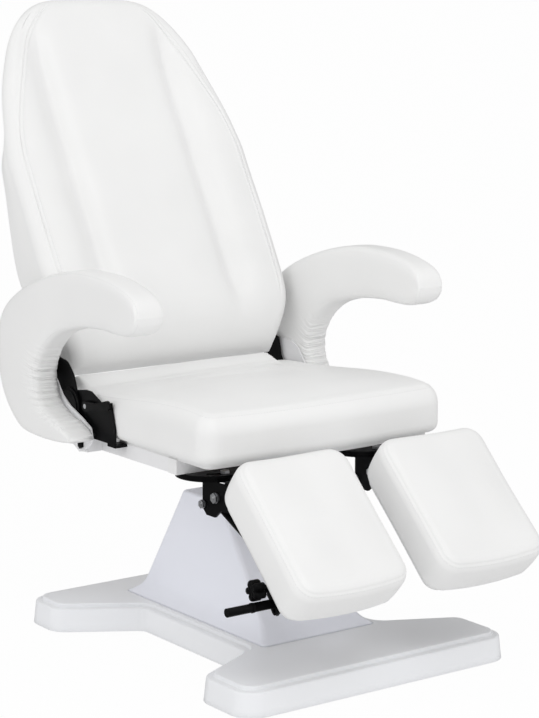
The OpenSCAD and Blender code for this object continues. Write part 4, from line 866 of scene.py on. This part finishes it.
grid = np.vstack([outer.reshape(-1, 3), inner_side[:-1].reshape(-1, 3)])
faces = skin_faces(len(outer), count).tolist()
top = (len(outer) - 1) * count
first_inner = len(outer) * count
faces.append(list(range(top, top + count)))
faces.append(list(range(first_inner, first_inner + count))[::-1])
faces += skin_faces(len(inner_side) - 1, count, first_inner).tolist()
last = first_inner + (len(inner_side) - 2) * count
faces += [[last + j, last + (j + 1) % count, (j + 1) % count, j] for j in range(count)]
base_shell = new_piece("base_shell", grid, faces, "base")
base_shell.data.polygons[0].use_smooth = True
dress(base_shell, shell)
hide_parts("base_cover")


# Column shroud: a tapering moulded housing with a flared foot, over the pump.
# A slot in its side lets the pedal's lever out, and a collar closes its top.
shroud_top_z = 0.308
shroud_foot_w = 0.240
shroud_foot_front = 0.258
shroud_foot_rear = 0.212
shroud_top_w = 0.198
shroud_top_l = 0.148
flare_w = 0.022
flare_h = 0.046
shroud_corner_r = 0.012
shroud_wall = 0.003
shroud_edge_r = 0.005
collar_r = 0.040
slot_x = (0.05, 0.16)
slot_y = (-0.017, 0.017)
slot_z = (0.074, 0.120)


def shroud_ring(z, inset, corner_n=8, side_n=12):
    """Outline of the shroud at height z: a rounded box that tapers upwards and
    flares out as the cube of the height left in its foot."""
    t = (z - base_h) / (shroud_top_z - base_h)
    f = max(0.0, 1 - (z - base_h) / flare_h)
    out = flare_w * f ** 3 - inset
    hx = (shroud_foot_w + (shroud_top_w - shroud_foot_w) * t) / 2 + out
    y0 = -(shroud_foot_front + (shroud_top_l / 2 - shroud_foot_front) * t) - out
    y1 = shroud_foot_rear + (shroud_top_l / 2 - shroud_foot_rear) * t + out
    flat = soft_outline(hx, y0, y1, max(shroud_corner_r - inset, 0.004), (0, 0, 0, 0), corner_n, side_n)
    return np.column_stack([flat, np.full(len(flat), z)])


cool_white = (0.90, 0.915, 0.985)
cool_shade = (0.89, 0.905, 0.98)
shroud_finish = moulded("shroud_shell", cool_white, cool_shade, 4.0, 0.28, 0.5)
levels = [base_h + 0.0003 + flare_h * s for s in np.linspace(0, 1, 15)]
levels += list(np.linspace(base_h + flare_h + 0.006, shroud_top_z - 0.006, 16))
walls = [shroud_ring(z, 0) for z in levels]
walls += [shroud_ring(shroud_top_z - shroud_edge_r * (1 - math.sin(a)), shroud_edge_r * (1 - math.cos(a)))
          for a in np.radians([0, 20, 40, 60, 80, 90])]
flat_top = shroud_ring(shroud_top_z, shroud_edge_r)
around = np.arctan2(flat_top[:, 1], flat_top[:, 0])
hole = np.column_stack([collar_r * np.cos(around), collar_r * np.sin(around), 0 * around + shroud_top_z])
walls += [flat_top + (hole - flat_top) * s for s in (0.5, 1.0)]
under = [np.column_stack([hole[:, :2], hole[:, 2] - shroud_wall])]
inner_top = shroud_ring(shroud_top_z - shroud_wall, shroud_wall)
under += [under[0] + (inner_top - under[0]) * s for s in (0.5, 1.0)]
inside = [shroud_ring(z, shroud_wall) for z in levels[::-3]] + [shroud_ring(levels[0], shroud_wall)]
rings = np.array(walls + under + inside)
rows, count = rings.shape[:2]
faces = skin_faces(rows, count).tolist()
last = (rows - 1) * count
faces += [[last + j, last + (j + 1) % count, (j + 1) % count, j] for j in range(count)]
shroud = new_piece("shroud_housing", rings.reshape(-1, 3), faces, "base")
slot_tool = bpy.data.meshes.new("slot_cut")
corners = [(x, y, z) for x in slot_x for y in slot_y for z in slot_z]
box_faces = [(0, 1, 3, 2), (4, 6, 7, 5), (0, 4, 5, 1), (2, 3, 7, 6), (0, 2, 6, 4), (1, 5, 7, 3)]
slot_tool.from_pydata(corners, [], box_faces)
slot_object = bpy.data.objects.new("slot_cut", slot_tool)
bpy.context.scene.collection.objects.link(slot_object)
cut = shroud.modifiers.new("slot", "BOOLEAN")
cut.operation = "DIFFERENCE"
cut.solver = "EXACT"
cut.object = slot_object
bpy.context.view_layer.update()
cut_mesh = bpy.data.meshes.new_from_object(shroud.evaluated_get(bpy.context.evaluated_depsgraph_get()))
shroud.modifiers.remove(cut)
shroud.data = cut_mesh
bpy.data.objects.remove(slot_object)
dress(shroud, shroud_finish)
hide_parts("column_shroud")


# Finishes of the pieces that stay as packed: the mechanism and the frame are
# powder coated with a faint orange peel, the pins zinc plated, the rods hard
# chrome, the glides rubber, the grips and plugs plastic, the boards birch.
deep_black = (0.003, 0.003, 0.0035)


def coated(name, color, patches, rough, grain, grain_h, **fixed):
    """Finish of one colour. Its roughness varies by rough[1] above rough[0] with
    the patches, a noise's scale, detail and stretch, over a grain of grain_h."""
    finish = Finish(name, color, rough[0], **fixed)
    finish.set("Roughness", finish.noise(*patches) * rough[1] + rough[0])
    finish.bump(finish.noise(*grain), grain_h)
    return finish


black_coat = coated("black_powder_coat", deep_black, (40.0, 3.0), (0.30, 0.16), (1300.0, 2.0), 0.00006,
                    Specular_IOR_Level=0.09)
white_coat = coated("white_powder_coat", (0.86, 0.86, 0.87), (30.0, 3.0), (0.28, 0.14), (1300.0, 2.0), 0.00006)
black_plastic = coated("black_plastic", deep_black, (70.0, 3.0), (0.36, 0.15), (1500.0, 2.0), 0.00008,
                       Specular_IOR_Level=0.12)
white_plastic = coated("white_plastic", (0.85, 0.85, 0.85), (50.0, 3.0), (0.36, 0.12), (1100.0, 2.0), 0.00006)
rubber = coated("black_rubber", (0.018, 0.018, 0.018), (90.0, 3.0), (0.64, 0.14), (800.0, 3.0), 0.00015)
zinc = coated("zinc_plate", (0.62, 0.63, 0.65), (400.0, 3.0, (1, 0.08, 1)), (0.22, 0.2),
              (700.0, 2.0, (1, 0.1, 1)), 0.00004, Metallic=1.0)
grey_paint = coated("grey_paint", (0.10, 0.105, 0.11), (60.0, 4.0), (0.38, 0.25), (500.0, 3.0), 0.00015)
chrome = Finish("hard_chrome", (0.70, 0.71, 0.73), 0.14, Metallic=1.0)
chrome.set("Roughness", chrome.noise(300.0, 2.0, (1, 1, 0.05)) * 0.10 + 0.08)
plywood = Finish("birch_plywood", (0.45, 0.30, 0.17), 0.62)
wood_grain = plywood.noise(34.0, 5.0, (1, 0.06, 1))
plywood.set("Base Color", plywood.blend(wood_grain.clipped(0.3, 0.7), (0.50, 0.34, 0.19), (0.36, 0.23, 0.12)))
plywood.set("Roughness", wood_grain * 0.2 + 0.52)
plywood.bump(wood_grain, 0.0002)
finish_of = {"white_vinyl": vinyl, "white_shell": shell, "shroud_shell": shroud_finish,
             "white_paint": white_coat, "black_paint": black_coat, "black_plastic": black_plastic,
             "white_plastic": white_plastic, "rubber": rubber, "zinc": zinc, "chrome": chrome,
             "dark_steel": grey_paint, "plywood": plywood}
for entry in frame["record"]["subparts"]:
    dress(entry["node"], finish_of[entry["material_slot"]])
dress(back_shell, white_plastic)


# Right hinge: the arm that carries the back is a broad plate, whose rear part
# shows behind the seat. Its outline is taken round the recline pivot.
web_x = (0.3037, 0.3067)
web_places = [(0.266, 0.494), (0.331, 0.494), (0.337, 0.506), (0.335, 0.526),
              (0.318, 0.551), (0.296, 0.570), (0.281, 0.566)]
count = len(web_places)
corners = np.array([(x, y, z) for x in web_x for y, z in web_places])
faces = [list(range(count))[::-1], list(range(count, 2 * count))]
faces += [[j, (j + 1) % count, count + (j + 1) % count, count + j] for j in range(count)]
web = new_piece("recliner_web_right", corners, faces, "back", False)
dress(web, black_coat)


# Star knobs: five round lobes about a hub, moulded on the end of a thin stud.
# The outline at an angle is the farthest of the hub and the lobes' circles.
knob_place = np.array([0.0, -0.252, 0.076])
knob_hub_r = 0.0115
lobe_r = 0.0068
lobe_out = 0.0142
stud_r = 0.004
# Each ring: its place along the stud, a plain radius, and a share of the star
knob_rings = [
    (0.0187, stud_r, 0), (0.0815, stud_r, 0), (0.0820, 0.0080, 0), (0.0900, 0.0088, 0),
    (0.0930, 0, 0.80), (0.0938, 0, 0.92), (0.0960, 0, 1.0), (0.1125, 0, 1.0), (0.1150, 0, 0.95),
    (0.1168, 0, 0.84), (0.1168, 0, 0.5), (0.1160, 0, 0.42), (0.1160, 0, 0.1)]
a = 2 * np.pi * np.arange(80) / 80
from_lobe = (a + np.pi / 5 - np.pi / 2) % (2 * np.pi / 5) - np.pi / 5
sunk = lobe_out * np.sin(from_lobe)
star = lobe_out * np.cos(from_lobe) + np.sqrt(np.maximum(lobe_r ** 2 - sunk ** 2, 0))
star = np.maximum(np.where(np.abs(sunk) < lobe_r, star, 0), knob_hub_r)
knob = []
for x, plain_r, share in knob_rings:
    r = plain_r + share * star
    knob.append(np.stack([0 * a + x, r * np.cos(a), r * np.sin(a)], -1))
knob = np.array(knob) + knob_place
for side, word in ((-1, "left"), (1, "right")):
    piece = closed_skin("knob_" + word, on_leg(knob, side), "knob_" + word)
    dress(piece, black_plastic)
    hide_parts("star_knob_" + word)


# Nuts: zinc hexagon nuts on washers, over the ends of the tilt pin and the
# strut's lower pin, each with the rounded end of its bolt standing out.
nut_places = [(-0.2255, -0.234, 0.368, 0.0085), (-0.2245, -0.188, 0.347, 0.0072)]
nut_t_share = 0.8
# Each ring: shares of the nut's thickness and of its radius, and 1 for a hexagon
nut_rings = [
    (0, 1.25, 0), (0.13, 1.25, 0), (0.16, 0.98, 1), (0.25, 1.08, 1), (0.85, 1.08, 1),
    (0.98, 0.95, 1), (1.0, 0.62, 0), (1.25, 0.60, 0), (1.38, 0.42, 0), (1.42, 0.1, 0)]
a = 2 * np.pi * np.arange(36) / 36
hexagon = 1 / np.cos((a + np.pi / 6) % (np.pi / 3) - np.pi / 6)
for n, (x, y, z, nut_r) in enumerate(nut_places):
    nut = []
    for depth, share, flats in nut_rings:
        r = share * nut_r * (hexagon if flats else 1)
        place = x - depth * nut_t_share * nut_r
        nut.append(np.stack([0 * a + place, y + r * np.cos(a), z + r * np.sin(a)], -1))
    nut = np.array(nut)
    for side, word in ((1, "left"), (-1, "right")):
        piece = closed_skin("nut_%s_%d" % (word, n), nut * np.array([side, 1, 1]), "swing_" + word, False)
        dress(piece, zinc)


# Floor and light: a pale floor and a white surround, a broad soft lamp in front
# above the chair, a weak one to its right and another on its left. Part of what
# the floor sends back is its own light, so that it reads white to the camera.
floor_mesh = bpy.data.meshes.new("floor")
span = 300.0
floor_z = -0.0005
floor_corners = [(x, y, floor_z) for x, y in ((-span, -span), (span, -span), (span, span), (-span, span))]
floor_mesh.from_pydata(floor_corners, [], [(0, 1, 2, 3)])
floor = bpy.data.objects.new("floor", floor_mesh)
bpy.context.scene.collection.objects.link(floor)
floor_material = bpy.data.materials.new("floor_white")
floor_material.use_nodes = True
tree = floor_material.node_tree
tree.nodes.clear()
out = tree.nodes.new("ShaderNodeOutputMaterial")
matte = tree.nodes.new("ShaderNodeBsdfDiffuse")
matte.inputs["Color"].default_value = (0.82, 0.82, 0.83, 1)
bright = tree.nodes.new("ShaderNodeEmission")
bright.inputs["Color"].default_value = (1, 1, 1, 1)
mix = tree.nodes.new("ShaderNodeMixShader")
rays = tree.nodes.new("ShaderNodeLightPath")
seen = Value(tree, rays.outputs["Is Camera Ray"])
mirrored = Value(tree, rays.outputs["Is Glossy Ray"])
share = seen * 0.39 + mirrored * 0.42 + 0.58
tree.links.new(share.socket, mix.inputs[0])
tree.links.new((1.0 - mirrored * 0.75).socket, bright.inputs["Strength"])
tree.links.new(matte.outputs[0], mix.inputs[1])
tree.links.new(bright.outputs[0], mix.inputs[2])
tree.links.new(mix.outputs[0], out.inputs[0])
floor_mesh.materials.append(floor_material)

ambient_light = 0.74
world = bpy.data.worlds.new("surround")
world.use_nodes = True
bpy.context.scene.world = world
tree = world.node_tree
tree.nodes.clear()
out = tree.nodes.new("ShaderNodeOutputWorld")
background = tree.nodes.new("ShaderNodeBackground")
rays = tree.nodes.new("ShaderNodeLightPath")
direction = tree.nodes.new("ShaderNodeTexCoord")
split = tree.nodes.new("ShaderNodeSeparateXYZ")
tree.links.new(direction.outputs["Generated"], split.inputs[0])
height = Value(tree, split.outputs["Z"])
seen = Value(tree, rays.outputs["Is Camera Ray"])
mirrored = Value(tree, rays.outputs["Is Glossy Ray"])
studio = height.clipped(-0.25, 0.9) * 0.44 + 0.08
strength = mirrored * (studio - ambient_light) + ambient_light
strength = seen * (1.0 - strength) + strength
background.inputs["Color"].default_value = (1, 1, 1, 1)
tree.links.new(strength.socket, background.inputs["Strength"])
tree.links.new(background.outputs[0], out.inputs[0])


def soft_lamp(name, place, target, size, watts):
    """Square area lamp that faces a target."""
    data = bpy.data.lights.new(name, "AREA")
    data.size = size
    data.energy = watts
    lamp = bpy.data.objects.new(name, data)
    lamp.location = place
    lamp.rotation_euler = (Vector(target) - Vector(place)).to_track_quat("-Z", "Y").to_euler()
    bpy.context.scene.collection.objects.link(lamp)


soft_lamp("key", (-0.6, -2.6, 3.4), (0, 0, 0.6), 2.2, 34)
soft_lamp("fill", (2.8, -2.6, 1.6), (0, 0, 0.6), 2.0, 5)
soft_lamp("side", (-3.2, -0.8, 2.2), (0, 0, 0.6), 2.2, 15)

bpy.context.scene.view_settings.view_transform = "Standard"
